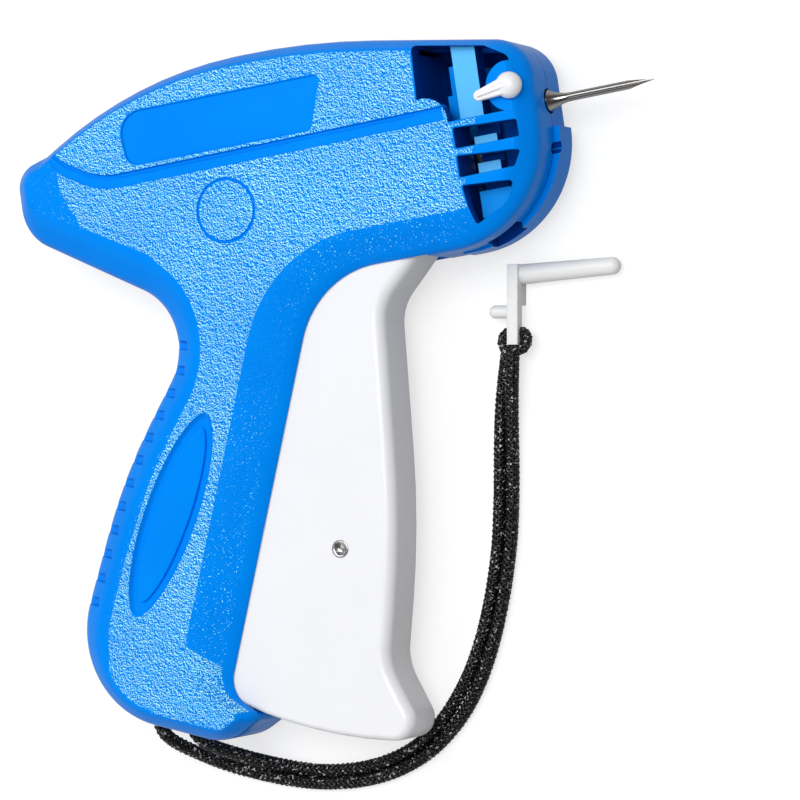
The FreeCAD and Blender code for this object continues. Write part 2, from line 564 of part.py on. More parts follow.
def shell_screws():
    """Self-tapping screws, all driven from the left side."""
    solids = []
    for x, y in SCREWS:
        seat = SCREW_SUNK + SCREW_HEAD_H
        shank = pillar(x, y, SCREW_R, seat, THICKNESS - 2 * WALL)
        head = pillar(x, y, SCREW_HEAD_R, SCREW_SUNK, seat)
        depth = SCREW_SUNK + CROSS_D
        cross = fuse([box(x - CROSS_L, x + CROSS_L, y - CROSS_W, y + CROSS_W, 0, depth),
                      box(x - CROSS_W, x + CROSS_W, y - CROSS_L, y + CROSS_L, 0, depth)])
        solids.append(head.fuse(shank).removeSplitter().cut(cross))
    return Part.makeCompound(solids)


# ================================ needle =======================================

def needle():
    """Flared root, slotted tube and a point ground hollow from the far side."""
    r = NEEDLE_D / 2
    cone_r = NEEDLE_CONE_D / 2
    profile = [(NEEDLE_BACK_X, r), (HUB_FRONT_X + RUNNING, r), (HUB_FRONT_X + RUNNING, cone_r), (GAP, cone_r)]
    steps = 6
    for k in range(1, steps + 1):
        t = k / steps
        profile.append((GAP + NEEDLE_CONE * t, r + (cone_r - r) * (1 - t) ** 2))
    profile.append((NEEDLE_TIP_X, r))
    solid = turned(profile)
    span = (NEEDLE_BACK_X - 1, NEEDLE_TIP_X + 1)
    solid = solid.cut(bar_along_x(NEEDLE_BORE / 2, *span))
    solid = solid.cut(box(*span, -NEEDLE_SLOT / 2, NEEDLE_SLOT / 2, PARTING - NEEDLE_CONE_D, PARTING))
    grind_r = (NEEDLE_POINT ** 2 + NEEDLE_D ** 2) / (2 * NEEDLE_D)
    ceiling = PARTING + r - NEEDLE_TIP_T
    solid = solid.cut(Part.makeCylinder(grind_r, 2 * NEEDLE_D, V(NEEDLE_TIP_X, -NEEDLE_D, ceiling - grind_r),
                                        V(0, 1, 0)))
    low, beyond = PARTING - NEEDLE_D, NEEDLE_TIP_X + 0.4
    for side in (1, -1):
        loop = [V(beyond, 0, low), V(NEEDLE_TIP_X - NEEDLE_SIDES, side * NEEDLE_D / 2, low),
                V(NEEDLE_TIP_X - NEEDLE_SIDES, side * NEEDLE_D, low), V(beyond, side * NEEDLE_D, low)]
        solid = solid.cut(Part.Face(Part.makePolygon(loop + loop[:1])).extrude(V(0, 0, 2 * NEEDLE_D)))
    return solid


def needle_hub():
    half = HUB_SIZE / 2
    block = box(HUB_BACK_X, HUB_FRONT_X, -half, half, PARTING - half, PARTING + half)
    block = block.makeFillet(0.5, [e for e in block.Edges if e.Length > HUB_SIZE + 0.1])
    block = block.cut(bar_along_x(NEEDLE_D / 2 + SNUG, HUB_BACK_X - 1, 1))
    block = block.cut(pillar(LOCK_X, LOCK_Y, LOCK_SHAFT_R + RUNNING, 0, THICKNESS))
    return block.cut(box(HUB_BACK_X - 1, 1, -HUB_SLOT / 2, HUB_SLOT / 2, PARTING - HUB_SIZE, PARTING))


def needle_lock_knob():
    top = THICKNESS + GAP
    r = LOCK_SHAFT_R
    low, high = (top + z for z in LOCK_ARM_Z)
    shaft = pillar(LOCK_X, LOCK_Y, r, LOCK_BOTTOM_Z, low)
    shaft = shaft.cut(box(LOCK_X + CAM_FLAT, LOCK_X + 2 * r, LOCK_Y - 2 * r, LOCK_Y + 2 * r, 0, LOCK_BOSS_Z - GAP))
    dome = Part.makeSphere(LOCK_DOME_R, V(LOCK_X, LOCK_Y, top)).common(
        pillar(LOCK_X, LOCK_Y, LOCK_BOSS_R, top, top + LOCK_HEIGHT))
    a = math.radians(LOCK_ARM_ANGLE)
    reach = LOCK_ARM - LOCK_ARM_R[1]
    end = (LOCK_X + reach * math.cos(a), LOCK_Y + reach * math.sin(a))
    arm = hull_plate([(LOCK_X, LOCK_Y, LOCK_ARM_R[0]), (*end, LOCK_ARM_R[1])], low, high)
    arm = arm.makeFillet(0.5, [e for e in arm.Edges if e.BoundBox.ZMin > high - 0.1])
    ridge = hull_plate([(LOCK_X, LOCK_Y, LOCK_RIDGE_R[0]), (*end, LOCK_RIDGE_R[1])], high - 0.2, high + 0.5)
    return fuse([shaft, dome, arm, ridge])


# ================================ trigger ======================================

def trigger_form(z0, z1, hollow=False):
    points, radii = plan(TRIGGER_OUTLINE)
    if hollow:
        points = inset_corners(points, [corner[4] for corner in TRIGGER_OUTLINE])
        radii = [corner[3] for corner in TRIGGER_OUTLINE]
    face = Part.Face(Part.Wire(rounded_edges(points, radii, z0)))
    return face.extrude(V(0, 0, z1 - z0))


def trigger():
    z0, z1 = PARTING - TRIGGER_WIDTH / 2, PARTING + TRIGGER_WIDTH / 2
    body = trigger_form(z0, z1)
    front = []
    for e in body.Edges:
        flat = abs(e.BoundBox.ZMax - e.BoundBox.ZMin) < 1e-3
        middle = e.valueAt((e.FirstParameter + e.LastParameter) / 2)
        if flat and (middle.x > -56 and middle.y < -26 or middle.y < -117):
            front.append(e)
    body = body.makeFillet(TRIGGER_EDGE, front)
    body = body.fuse(pillar(TRIGGER_X, TRIGGER_Y, TRIGGER_HUB_R, z0, z1))
    hollow = trigger_form(z0 + TRIGGER_WALL, z1 - TRIGGER_WALL, True)
    room = pillar(TRIGGER_X, TRIGGER_Y, TRIGGER_HUB_R + 1, z0 + TRIGGER_WALL, z1 - TRIGGER_WALL)
    kept = box(TRIGGER_X - 8, TRIGGER_X + 14, -40, TRIGGER_Y - PAWL_HUB_R - GAP, z0, z1)
    cuts = [hollow, room.cut(kept), pillar(TRIGGER_X, TRIGGER_Y, PIN_R + RUNNING, z0, z1),
            pillar(TRIGGER_PIN_X, TRIGGER_PIN_Y, PIN_R + SNUG, z0, z1)]
    for z in (z0 - 1, z1 - RIVET_H):
        cuts.append(pillar(TRIGGER_PIN_X, TRIGGER_PIN_Y, RIVET_R + SNUG, z, z + RIVET_H + 1))
    return cut_all(body, cuts).removeSplitter()


def trigger_pivot_pin():
    return pillar(TRIGGER_X, TRIGGER_Y, PIN_R, WALL, THICKNESS - WALL)


def trigger_pin():
    """Rivet through the trigger's cheeks and the drive lever's lower slot."""
    half = TRIGGER_WIDTH / 2
    rivet = pillar(TRIGGER_PIN_X, TRIGGER_PIN_Y, PIN_R, PARTING - half + RIVET_H, PARTING + half - RIVET_H)
    for way in (1, -1):
        out = V(0, 0, way)
        face = V(TRIGGER_PIN_X, TRIGGER_PIN_Y, PARTING + way * half)
        head = Part.makeCylinder(RIVET_R, RIVET_H - RIVET_ROUND, face - out * RIVET_H, out)
        brim = Part.makeCone(RIVET_R, RIVET_R - RIVET_ROUND, RIVET_ROUND, face - out * RIVET_ROUND, out)
        cup = Part.makeCylinder(RIVET_CUP_R, RIVET_CUP + 1, face - out * RIVET_CUP, out)
        rivet = rivet.fuse([head, brim]).removeSplitter().cut(cup)
    return rivet


# ============================ lever and ejector ================================

def lever_slots():
    """Paths of the trigger's pin and the slide's pin, seen from the turning lever."""
    pivot = V(LEVER_X, LEVER_Y, 0)
    hinge = V(TRIGGER_X, TRIGGER_Y, 0)
    rest = V(TRIGGER_PIN_X, TRIGGER_PIN_Y, 0)
    steps = 8
    lower, upper = [], []
    for k in range(steps + 1):
        t = k / steps
        lower.append(spun(spun(rest, hinge, -TRIGGER_SWING * t), pivot, LEVER_SWING * t))
        upper.append(spun(V(SLIDE_PIN_X + STROKE * t, SLIDE_PIN_Y, 0), pivot, LEVER_SWING * t))
    return lower, upper


def drive_lever():
    z0, z1 = PARTING - LEVER_THICK / 2, PARTING + LEVER_THICK / 2
    hub = (LEVER_X, LEVER_Y, LEVER_HUB_R)
    arms = [hull_plate([hub, (SLIDE_PIN_X, SLIDE_PIN_Y, LEVER_TOP_R)], z0, z1),
            hull_plate([hub, (TRIGGER_PIN_X, TRIGGER_PIN_Y, LEVER_FOOT_R)], z0, z1)]
    lever = fuse(arms)
    cuts = [swept_slot(path, PIN_R + SLOT_CLEARANCE, z0 - 1, z1 + 1) for path in lever_slots()]
    cuts.append(pillar(LEVER_X, LEVER_Y, PIN_R + RUNNING, z0 - 1, z1 + 1))
    shank = [(LEVER_X + share * (SLIDE_PIN_X - LEVER_X), LEVER_Y + share * (SLIDE_PIN_Y - LEVER_Y),
              LEVER_RECESS_R) for share in LEVER_RECESS]
    cuts += [hull_plate(shank, z, z + LEVER_RECESS_D + 1) for z in (z0 - 1, z1 - LEVER_RECESS_D)]
    return cut_all(lever, cuts)


def lever_pivot_pin():
    half = LEVER_THICK / 2 + GAP + BRACKET_T + PIN_SEAT
    return pillar(LEVER_X, LEVER_Y, PIN_R, PARTING - half, PARTING + half)


def lever_bracket():
    """Two steel ears that carry the lever's pivot, joined by tubes on the shells' posts."""
    inner = LEVER_THICK / 2 + GAP
    discs = [(LEVER_X, LEVER_Y, BRACKET_R)] + [(x, y, BRACKET_POST_R) for x, y in BRACKET_POSTS]
    ears = [hull_plate(discs, PARTING + inner, PARTING + inner + BRACKET_T),
            hull_plate(discs, PARTING - inner - BRACKET_T, PARTING - inner)]
    tubes = [pillar(x, y, BRACKET_POST_R, PARTING - BRACKET_HALF, PARTING + BRACKET_HALF)
             for x, y in BRACKET_POSTS]
    cuts = [pillar(LEVER_X, LEVER_Y, PIN_R + SNUG, 0, THICKNESS)]
    cuts += [pillar(x, y, POST_PIN_R + SNUG, 0, THICKNESS) for x, y in BRACKET_POSTS]
    return cut_all(fuse(ears + tubes), cuts)


def bracket_pins():
    return Part.makeCompound([pillar(x, y, POST_PIN_R, WALL, THICKNESS - WALL) for x, y in BRACKET_POSTS])


def ejector_slide():
    half_h, half_w = SLIDE_H / 2, SLIDE_W / 2
    body = box(SLIDE_BACK_X, SLIDE_FRONT_X, -half_h, half_h, PARTING - half_w, PARTING + half_w)
    tongue = box(SLIDE_BACK_X, SLIDE_FRONT_X, -TONGUE_H / 2, TONGUE_H / 2,
                 PARTING - TONGUE_W / 2, PARTING + TONGUE_W / 2)
    ears = hull_plate([(SLIDE_PIN_X, SLIDE_PIN_Y, EAR_R), (SLIDE_PIN_X, 0, EAR_R)],
                      PARTING - half_w, PARTING + half_w)
    nose = bar_along_x(SPRING_R - SPRING_WIRE / 2 - 0.2, SLIDE_FRONT_X - 1, SLIDE_FRONT_X + 4)
    slide = fuse([body, tongue, ears, nose])
    fork = LEVER_THICK / 2 + GAP
    cuts = [box(SLIDE_PIN_X - 9, SLIDE_PIN_X + 9, -16, 0.8, PARTING - fork, PARTING + fork),
            pillar(SLIDE_PIN_X, SLIDE_PIN_Y, PIN_R + SNUG, 0, 30),
            bar_along_x(ROD_R + SNUG, SLIDE_FRONT_X - ROD_SEAT + 4, SLIDE_FRONT_X + 6)]
    for z in (PARTING - half_w - 0.01, PARTING + half_w - 1.2):
        cuts.append(box(SLIDE_BACK_X + 15, SLIDE_FRONT_X - 3, 2.3, half_h - 1.0, z, z + 1.2))
    return cut_all(slide, cuts)


def slide_pin():
    half = SLIDE_W / 2
    return pillar(SLIDE_PIN_X, SLIDE_PIN_Y, PIN_R, PARTING - half, PARTING + half)


def ejector_rod():
    rod = bar_along_x(ROD_R, SLIDE_FRONT_X - ROD_SEAT + 4, ROD_TIP_X)
    return rod.makeChamfer(0.15, [e for e in rod.Edges if e.BoundBox.XMin > ROD_TIP_X - 0.1])


def return_spring():
    """Coil on the ejector rod between the slide and the wall behind the windows."""
    room = SPRING_WIRE / 2 + SPRING_PLAY
    x0, x1 = SLIDE_FRONT_X + room, SPRING_SEAT_X - room
    length = x1 - x0
    helix = Part.makeHelix(length / SPRING_TURNS, length, SPRING_R)
    section = Part.Wire(Part.makeCircle(SPRING_WIRE / 2, V(SPRING_R, 0, 0), V(0, 1, 0)))
    coil = Part.Wire(helix.Edges).makePipeShell([section], True, True)
    coil.Placement = FreeCAD.Placement(V(x0, 0, PARTING), FreeCAD.Rotation(V(0, 1, 0), 90))
    return coil


# ================================ feed =========================================

def feed_guide():
    """Moulded insert: the wall that the fastener strip slides down."""
    parts = [box(*GUIDE_X, *GUIDE_Y, WALL + GAP, GUIDE_TOP_Z)]
    for y0, y1, width, drop in (GUIDE_RIB, GUIDE_STEP):
        parts.append(box(GUIDE_X[0] - width, GUIDE_X[0], y0, y1, WALL + GAP, GUIDE_TOP_Z - drop))
    block = fuse(parts)
    hollow = casing_half(WALL + GAP)
    block = block.common(hollow.fuse(mirror_half(hollow)))
    return cut_all(block, [
        bar_along_x(ROD_R + GAP, GUIDE_X[0] - 4, GUIDE_X[1] + 1),
        pillar(WHEEL_X, WHEEL_Y, WHEEL_R + GAP, WHEEL_Z[0] - GAP, WHEEL_Z[1] + GAP),
        pillar(WHEEL_X, WHEEL_Y, WHEEL_BOSS_R + GAP, 0, WHEEL_Z[0])])


def feed_wheel():
    wheel = pillar(WHEEL_X, WHEEL_Y, WHEEL_R, *WHEEL_Z)
    step = 360.0 / WHEEL_TEETH
    line = math.degrees(math.atan2(TRIGGER_Y - WHEEL_Y, TRIGGER_X - WHEEL_X))
    cuts = []
    for k in range(WHEEL_TEETH):
        a = math.radians(line + k * step)
        out = V(math.cos(a), math.sin(a), 0)
        side = V(-out.y, out.x, 0)
        root = V(WHEEL_X, WHEEL_Y, WHEEL_Z[0] - 1) + out * WHEEL_ROOT_R
        mouth = root + out * (TOOTH + 0.5)
        loop = [root + side * TOOTH_GAP[0], mouth + side * TOOTH_GAP[1],
                mouth - side * TOOTH_GAP[1], root - side * TOOTH_GAP[0]]
        cuts.append(Part.Face(Part.makePolygon(loop + loop[:1])).extrude(V(0, 0, 6)))
    cuts.append(pillar(WHEEL_X, WHEEL_Y, AXLE_R + RUNNING, 0, THICKNESS))
    return cut_all(wheel, cuts)


def feed_wheel_axle():
    return pillar(WHEEL_X, WHEEL_Y, AXLE_R, WALL, WHEEL_Z[1])


def feed_pawl():
    """Finger on the trigger's pivot that moves the feed wheel by one tooth a stroke."""
    half = TRIGGER_WIDTH / 2 - TRIGGER_WALL - GAP
    hub = pillar(TRIGGER_X, TRIGGER_Y, PAWL_HUB_R, PARTING - half, PARTING + half)
    way = V(WHEEL_X - TRIGGER_X, WHEEL_Y - TRIGGER_Y, 0).normalize()
    side = V(-way.y, way.x, 0)
    centre = V(TRIGGER_X, TRIGGER_Y, (WHEEL_Z[0] + WHEEL_Z[1] - PAWL_T) / 2)
    stations = list(zip((PAWL_HUB_R / 2, PAWL_TIP_R - PAWL_TAPER, PAWL_TIP_R), PAWL_HALVES))
    loop = [centre + way * reach + side * width for reach, width in stations]
    loop += [centre + way * reach - side * width for reach, width in reversed(stations)]
    finger = Part.Face(Part.makePolygon(loop + loop[:1])).extrude(V(0, 0, PAWL_T))
    return fuse([hub, finger]).cut(pillar(TRIGGER_X, TRIGGER_Y, PIN_R + RUNNING, 0, THICKNESS))


def detent_spring():
    """Leaf that keeps the feed wheel from turning back."""
    span = (DETENT_Y, DETENT_Y + DETENT_T)
    blade = box(DETENT_X, GUIDE_X[0] - GUIDE_STEP[2] - GAP, *span, *WHEEL_Z)
    foot = box(DETENT_X, DETENT_X + DETENT_FOOT, *span, WALL, WHEEL_Z[0])
    return fuse([blade, foot])


def knife_blade():
    """Blade behind the needle that parts each fastener from the strip."""
    x1 = NEEDLE_BACK_X - SPRING_PLAY
    x0 = x1 - KNIFE_T
    top = -NEEDLE_D / 2
    blade = box(x0, x1, KNIFE_Y, top, WALL, PARTING + NEEDLE_D / 2 + GAP)
    loop = [V(x0, top - KNIFE_BEVEL, 0), V(x0, top, 0), V(x1, top, 0), V(x0, top - KNIFE_BEVEL, 0)]
    return blade.cut(Part.Face(Part.makePolygon(loop)).extrude(V(0, 0, THICKNESS)))


# ============================ strap and tool ===================================

def strand(route):
    """Cord of straight runs joined by tangent arcs."""
    points = [V(*p) for p in route]
    edges, radii = [], []
    start = points[0]
    for i in range(1, len(points) - 1):
        back, on = points[i - 1] - points[i], points[i + 1] - points[i]
        shorter = min(back.Length, on.Length)
        back.normalize()
        on.normalize()
        half = (math.pi - back.getAngle(on)) / 2
        reach = RUN_SHARE * shorter
        radius = reach / math.tan(half)
        radii.append(radius)
        bisector = (back + on).normalize()
        middle = points[i] + bisector * (radius / math.cos(half) - radius)
        a, b = points[i] + back * reach, points[i] + on * reach
        edges.append(Part.LineSegment(start, a).toShape())
        edges.append(Part.Arc(a, middle, b).toShape())
        start = b
    edges.append(Part.LineSegment(start, points[-1]).toShape())
    path = Part.Wire(edges)
    way = (points[1] - points[0]).normalize()
    section = Part.Wire(Part.makeCircle(STRAP_D / 2, points[0], way))
    tube = path.makePipeShell([section], True, False)
    want = math.pi * (STRAP_D / 2) ** 2 * path.Length
    print("strand length %.1f, volume %.1f against %.1f, radii" % (path.Length, tube.Volume, want),
          " ".join("%.0f" % r for r in radii))
    return tube


def strap_end_knot():
    """Overhand knot inside the handle that keeps the strap from pulling out."""
    return Part.makeSphere(KNOT_IN_R, V(*KNOT_IN))


def strap_hitch_knot():
    """Lark's head round the tool's eye."""
    x, y, z = KNOT_OUT_SIZE
    body = Part.makeBox(x, y, z, V(-x / 2, -y / 2, -z / 2))
    body = body.makeFillet(min(y, z) / 2 - 0.6, body.Edges)
    body.Placement = FreeCAD.Placement(V(*KNOT_OUT), FreeCAD.Rotation(V(0, 0, 1), -TOOL_TILT))
    return body


def clearing_tool():
    """L-shaped plastic key for pushing stuck fasteners out."""
    w, h, t = TOOL_STEM_W, TOOL_STEM_H, TOOL_STEM_T
    stem = box(-w / 2, w / 2, TOOL_TONGUE_H, h, 0.0, t)
    stem = stem.makeFillet(TOOL_EDGE, [e for e in stem.Edges if e.BoundBox.ZLength > t - 0.1])
    tongue = box(-w / 2, w / 2, 0.0, TOOL_TONGUE_H + 1, t - TOOL_TONGUE_T, t)
    rise = math.radians(TOOL_ARM_RISE)
    base = V(TOOL_ARM_BACK, h - TOOL_ARM_R1 - TOOL_ARM_TOP, TOOL_ARM_R1)
    way = V(math.cos(rise), math.sin(rise), (TOOL_ARM_R2 - TOOL_ARM_R1) / TOOL_ARM_L).normalize()
    length = TOOL_ARM_L - TOOL_ARM_R2
    arm = Part.makeCone(TOOL_ARM_R1, TOOL_ARM_R2, length, base, way)
    end = Part.makeSphere(TOOL_ARM_R2, base + way * length)
    root = V(0, TOOL_PEG_Y, t - TOOL_PEG_R)
    reach = TOOL_PEG_L - TOOL_PEG_R
    peg = Part.makeCylinder(TOOL_PEG_R, reach, root, V(-1, 0, 0))
    peg_end = Part.makeSphere(TOOL_PEG_R, root - V(reach, 0, 0))
    tool = fuse([stem, tongue, arm, end, peg, peg_end])
    tool.Placement = FreeCAD.Placement(V(TOOL_X, TOOL_Y, 0), FreeCAD.Rotation(V(0, 0, 1), -TOOL_TILT))
    return tool


# ================================ assembly =====================================

def main():
    pieces = {
        "left_shell": left_shell(),
        "right_shell": right_shell(),
        "shell_screws": shell_screws(),
        "needle": needle(),
        "needle_hub": needle_hub(),
        "needle_lock_knob": needle_lock_knob(),
        "knife_blade": knife_blade(),
        "feed_guide": feed_guide(),
        "feed_wheel": feed_wheel(),
        "feed_wheel_axle": feed_wheel_axle(),
        "feed_pawl": feed_pawl(),
        "detent_spring": detent_spring(),
        "trigger": trigger(),
        "trigger_pivot_pin": trigger_pivot_pin(),
        "trigger_pin": trigger_pin(),
        "drive_lever": drive_lever(),
        "lever_pivot_pin": lever_pivot_pin(),
        "lever_bracket": lever_bracket(),
        "bracket_pins": bracket_pins(),
        "ejector_slide": ejector_slide(),
        "slide_pin": slide_pin(),
        "ejector_rod": ejector_rod(),
        "return_spring": return_spring(),
        "strap_strand_outer": strand(STRAND_OUTER),
        "strap_strand_inner": strand(STRAND_INNER),
        "strap_end_knot": strap_end_knot(),
        "strap_hitch_knot": strap_hitch_knot(),
        "clearing_tool": clearing_tool(),
    }
    on_cord = [name for name in pieces if name.startswith("strap_")] + ["clearing_tool"]
    gun = Part.makeCompound([shape for name, shape in pieces.items() if name not in on_cord])
    gun = gun.optimalBoundingBox(False, False)
    shift = V(-gun.Center.x, -gun.Center.y, 0)
    print("shift", shift, "box", gun)
    os.makedirs("parts", exist_ok=True)
    for name, shape in pieces.items():
        placed = shape.translated(shift)
        print("%-20s valid %s solids %d volume %8.1f" % (name, placed.isValid(), len(placed.Solids),
                                                        placed.Volume))
        placed.exportStep("parts/%s.step" % name)


main()
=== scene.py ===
import math

import bmesh
import bpy
from mathutils import Matrix, Vector


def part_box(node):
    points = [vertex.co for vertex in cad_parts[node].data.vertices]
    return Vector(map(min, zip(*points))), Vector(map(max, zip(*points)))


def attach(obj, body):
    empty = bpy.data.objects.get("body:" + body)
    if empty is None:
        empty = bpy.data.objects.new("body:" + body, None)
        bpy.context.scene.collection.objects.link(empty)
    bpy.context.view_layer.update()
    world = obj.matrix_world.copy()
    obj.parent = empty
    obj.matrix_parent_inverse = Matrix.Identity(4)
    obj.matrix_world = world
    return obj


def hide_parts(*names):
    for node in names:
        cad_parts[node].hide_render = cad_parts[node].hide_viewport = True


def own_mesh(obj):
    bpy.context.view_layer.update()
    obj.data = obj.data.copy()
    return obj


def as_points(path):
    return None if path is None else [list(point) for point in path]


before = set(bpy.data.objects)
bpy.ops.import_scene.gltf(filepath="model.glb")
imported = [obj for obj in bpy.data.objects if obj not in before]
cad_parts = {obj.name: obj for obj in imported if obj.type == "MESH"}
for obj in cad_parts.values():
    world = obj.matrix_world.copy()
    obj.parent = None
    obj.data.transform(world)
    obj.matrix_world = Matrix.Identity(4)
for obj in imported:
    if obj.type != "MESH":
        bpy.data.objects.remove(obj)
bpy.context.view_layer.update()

MM = 0.001

# The gun's own frame, in millimetres, has its origin at the needle's hole in the nose.
NEEDLE_TIP = 23.9
needle_low, needle_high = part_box("needle")
ORIGIN = Vector((needle_high[0] / MM - NEEDLE_TIP, (needle_low[1] + needle_high[1]) / 2 / MM, 0.0))


def at(x, y, z):
    """A place in the gun's own frame, in metres in the row's frame."""
    return (Vector((x, y, z)) + ORIGIN) * MM


# ============================== camera and light ==================================

CAMERA_YAW = math.radians(24.0)      # towards the nose
CAMERA_ROLL = math.radians(8.8)
CAMERA_DISTANCE = 0.75
CAMERA_LENS = 158.6
CAMERA_SENSOR = 36.0
CAMERA_NEAR = 0.05
CAMERA_TARGET = (-43.21, -56.50, 12.0)


def make_camera():
    toward = Vector((math.sin(CAMERA_YAW) * math.cos(CAMERA_ROLL),
                     -math.sin(CAMERA_YAW) * math.sin(CAMERA_ROLL), math.cos(CAMERA_YAW)))
    up = Vector((math.sin(CAMERA_ROLL), math.cos(CAMERA_ROLL), 0.0))
    right = up.cross(toward)
    camera = bpy.data.objects.new("camera", bpy.data.cameras.new("camera"))
    camera.data.lens = CAMERA_LENS
    camera.data.sensor_width = CAMERA_SENSOR
    camera.data.clip_start = CAMERA_NEAR
    turn = Matrix((right, up, toward)).transposed().to_4x4()
    camera.matrix_world = Matrix.Translation(at(*CAMERA_TARGET) + toward * CAMERA_DISTANCE) @ turn
    bpy.context.collection.objects.link(camera)
    bpy.context.scene.camera = camera


# Name, place it shines at, the way from there to the lamp, distance, size and power.
LAMPS = (
    ("key", (-50.0, -50.0, 12.0), (0.13, 0.22, 0.96), 0.95, (0.55, 0.42), 5.1),
    ("side", (-50.0, -50.0, 12.0), (-0.65, -0.35, 0.67), 0.95, (0.8, 0.8), 1.6),
    ("strip", (12.0, 0.0, 12.0), (-0.42, 0.40, 0.81), 0.9, (0.42, 0.34), 1.4),
)


def make_lamp(name, target, way, distance, size, power):
    light = bpy.data.lights.new(name, "AREA")
    light.shape = "RECTANGLE"
    light.size, light.size_y = size
    light.energy = power
    lamp = bpy.data.objects.new(name, light)
    target = at(*target)
    place = target + Vector(way) * distance
    aim = target - place
    lamp.matrix_world = Matrix.Translation(place) @ aim.to_track_quat("-Z", "Y").to_matrix().to_4x4()
    bpy.context.collection.objects.link(lamp)


make_camera()

# ============================== node helpers ======================================


def new_material(name):
    material = bpy.data.materials.new(name)
    material.use_nodes = True
    nodes = material.node_tree.nodes
    shader = nodes["Principled BSDF"]
    return material, material.node_tree, shader


def node(tree, kind, inputs=None, **settings):
    """A node with its settings; inputs maps a socket's name or number to a value or a link."""
    made = tree.nodes.new(kind)
    for key, value in settings.items():
        setattr(made, key, value)
    for key, value in (inputs or {}).items():
        if isinstance(value, bpy.types.NodeSocket):
            tree.links.new(value, made.inputs[key])
        else:
            made.inputs[key].default_value = value
    return made


def ramp(tree, value, stops):
    made = node(tree, "ShaderNodeValToRGB", {0: value})
    elements = made.color_ramp.elements
    while len(elements) < len(stops):
        elements.new(0.5)
    for element, (place, colour) in zip(elements, stops):
        element.position = place
        element.color = colour if len(colour) == 4 else (*colour, 1.0)
    return made.outputs["Color"]


def grey(value):
    return (value, value, value)


def object_space(tree):
    return node(tree, "ShaderNodeTexCoord").outputs["Object"]


def noise(tree, place, scale, detail=2.0, roughness=0.5, distortion=0.0):
    made = node(tree, "ShaderNodeTexNoise", {"Vector": place, "Scale": scale, "Detail": detail,
                                             "Roughness": roughness, "Distortion": distortion})
    return made.outputs["Fac"]


def bump(tree, height, strength, distance):
    made = node(tree, "ShaderNodeBump", {"Height": height, "Strength": strength, "Distance": distance})
    return made.outputs["Normal"]


def maths(tree, operation, first, second=0.0):
    return node(tree, "ShaderNodeMath", {0: first, 1: second}, operation=operation).outputs[0]


def vectors(tree, operation, first, second=(0.0, 0.0, 0.0)):
    inputs = {0: first, "Scale": second} if operation == "SCALE" else {0: first, 1: second}
    return node(tree, "ShaderNodeVectorMath", inputs, operation=operation).outputs[0]


def mixed(tree, share, first, second):
    """Colour between two others, each a link or a colour with alpha."""
    inputs = {0: share, 6: first, 7: second}
    return node(tree, "ShaderNodeMix", inputs, data_type="RGBA").outputs[2]


# ============================== materials =========================================

BLUE = (0.0, 0.235, 0.85)
BLUE_DEEP = (0.0, 0.215, 0.81)
BLUE_LIT_SLOPE = (0.30, 1.0, 0.97)       # painted highlight on the sides of the grain's ridges that face the light
# painted shade on the sides of the grain's ridges that face away from the light
BLUE_SHADED_SLOPE = (0.0, 0.165, 0.74)
BLUE_SHINE = (0.12, 0.62, 1.0, 1.0)  # the pigment tints the moulding's own reflections
BLUE_GLINT = (0.62, 1.0, 1.0)
BLUE_ROOM_SHADE = (0.0, 0.046, 0.33)      # painted shade for the rooms inside the nose
BLUE_REFLECTION = 0.11
PLASTIC_IOR = 1.5

# The mould grain: worm-like ridges. The slope from one place to the next along RIDGE_STEP sets where
# the colour gets a painted highlight (rising slopes) and painted shade (falling slopes).
RIDGE_STEP = (0.00006, 0.000075, 0.0)
WORM_SCALE, WORM_DETAIL, WORM_ROUGHNESS, WORM_DISTORTION = 1600.0, 0.6, 0.4, 1.5
SLOPE_LIT = ((0.01, (0.0, 0.0, 0.0)), (0.09, (1.0, 1.0, 1.0)))
SLOPE_SHADED = ((0.38, (1.0, 1.0, 1.0)), (0.47, (0.0, 0.0, 0.0)))
GRAIN_RELIEF, SPARKLE_RELIEF = 0.00026, 0.00012
GRAIN_ROUGHNESS = 0.24
PATCH_SCALE, SPARKLE_SCALE = 38.0, 3100.0
PATCH_LOW = 0.72                     # how strong the grain's painted highlight still is where it is faintest
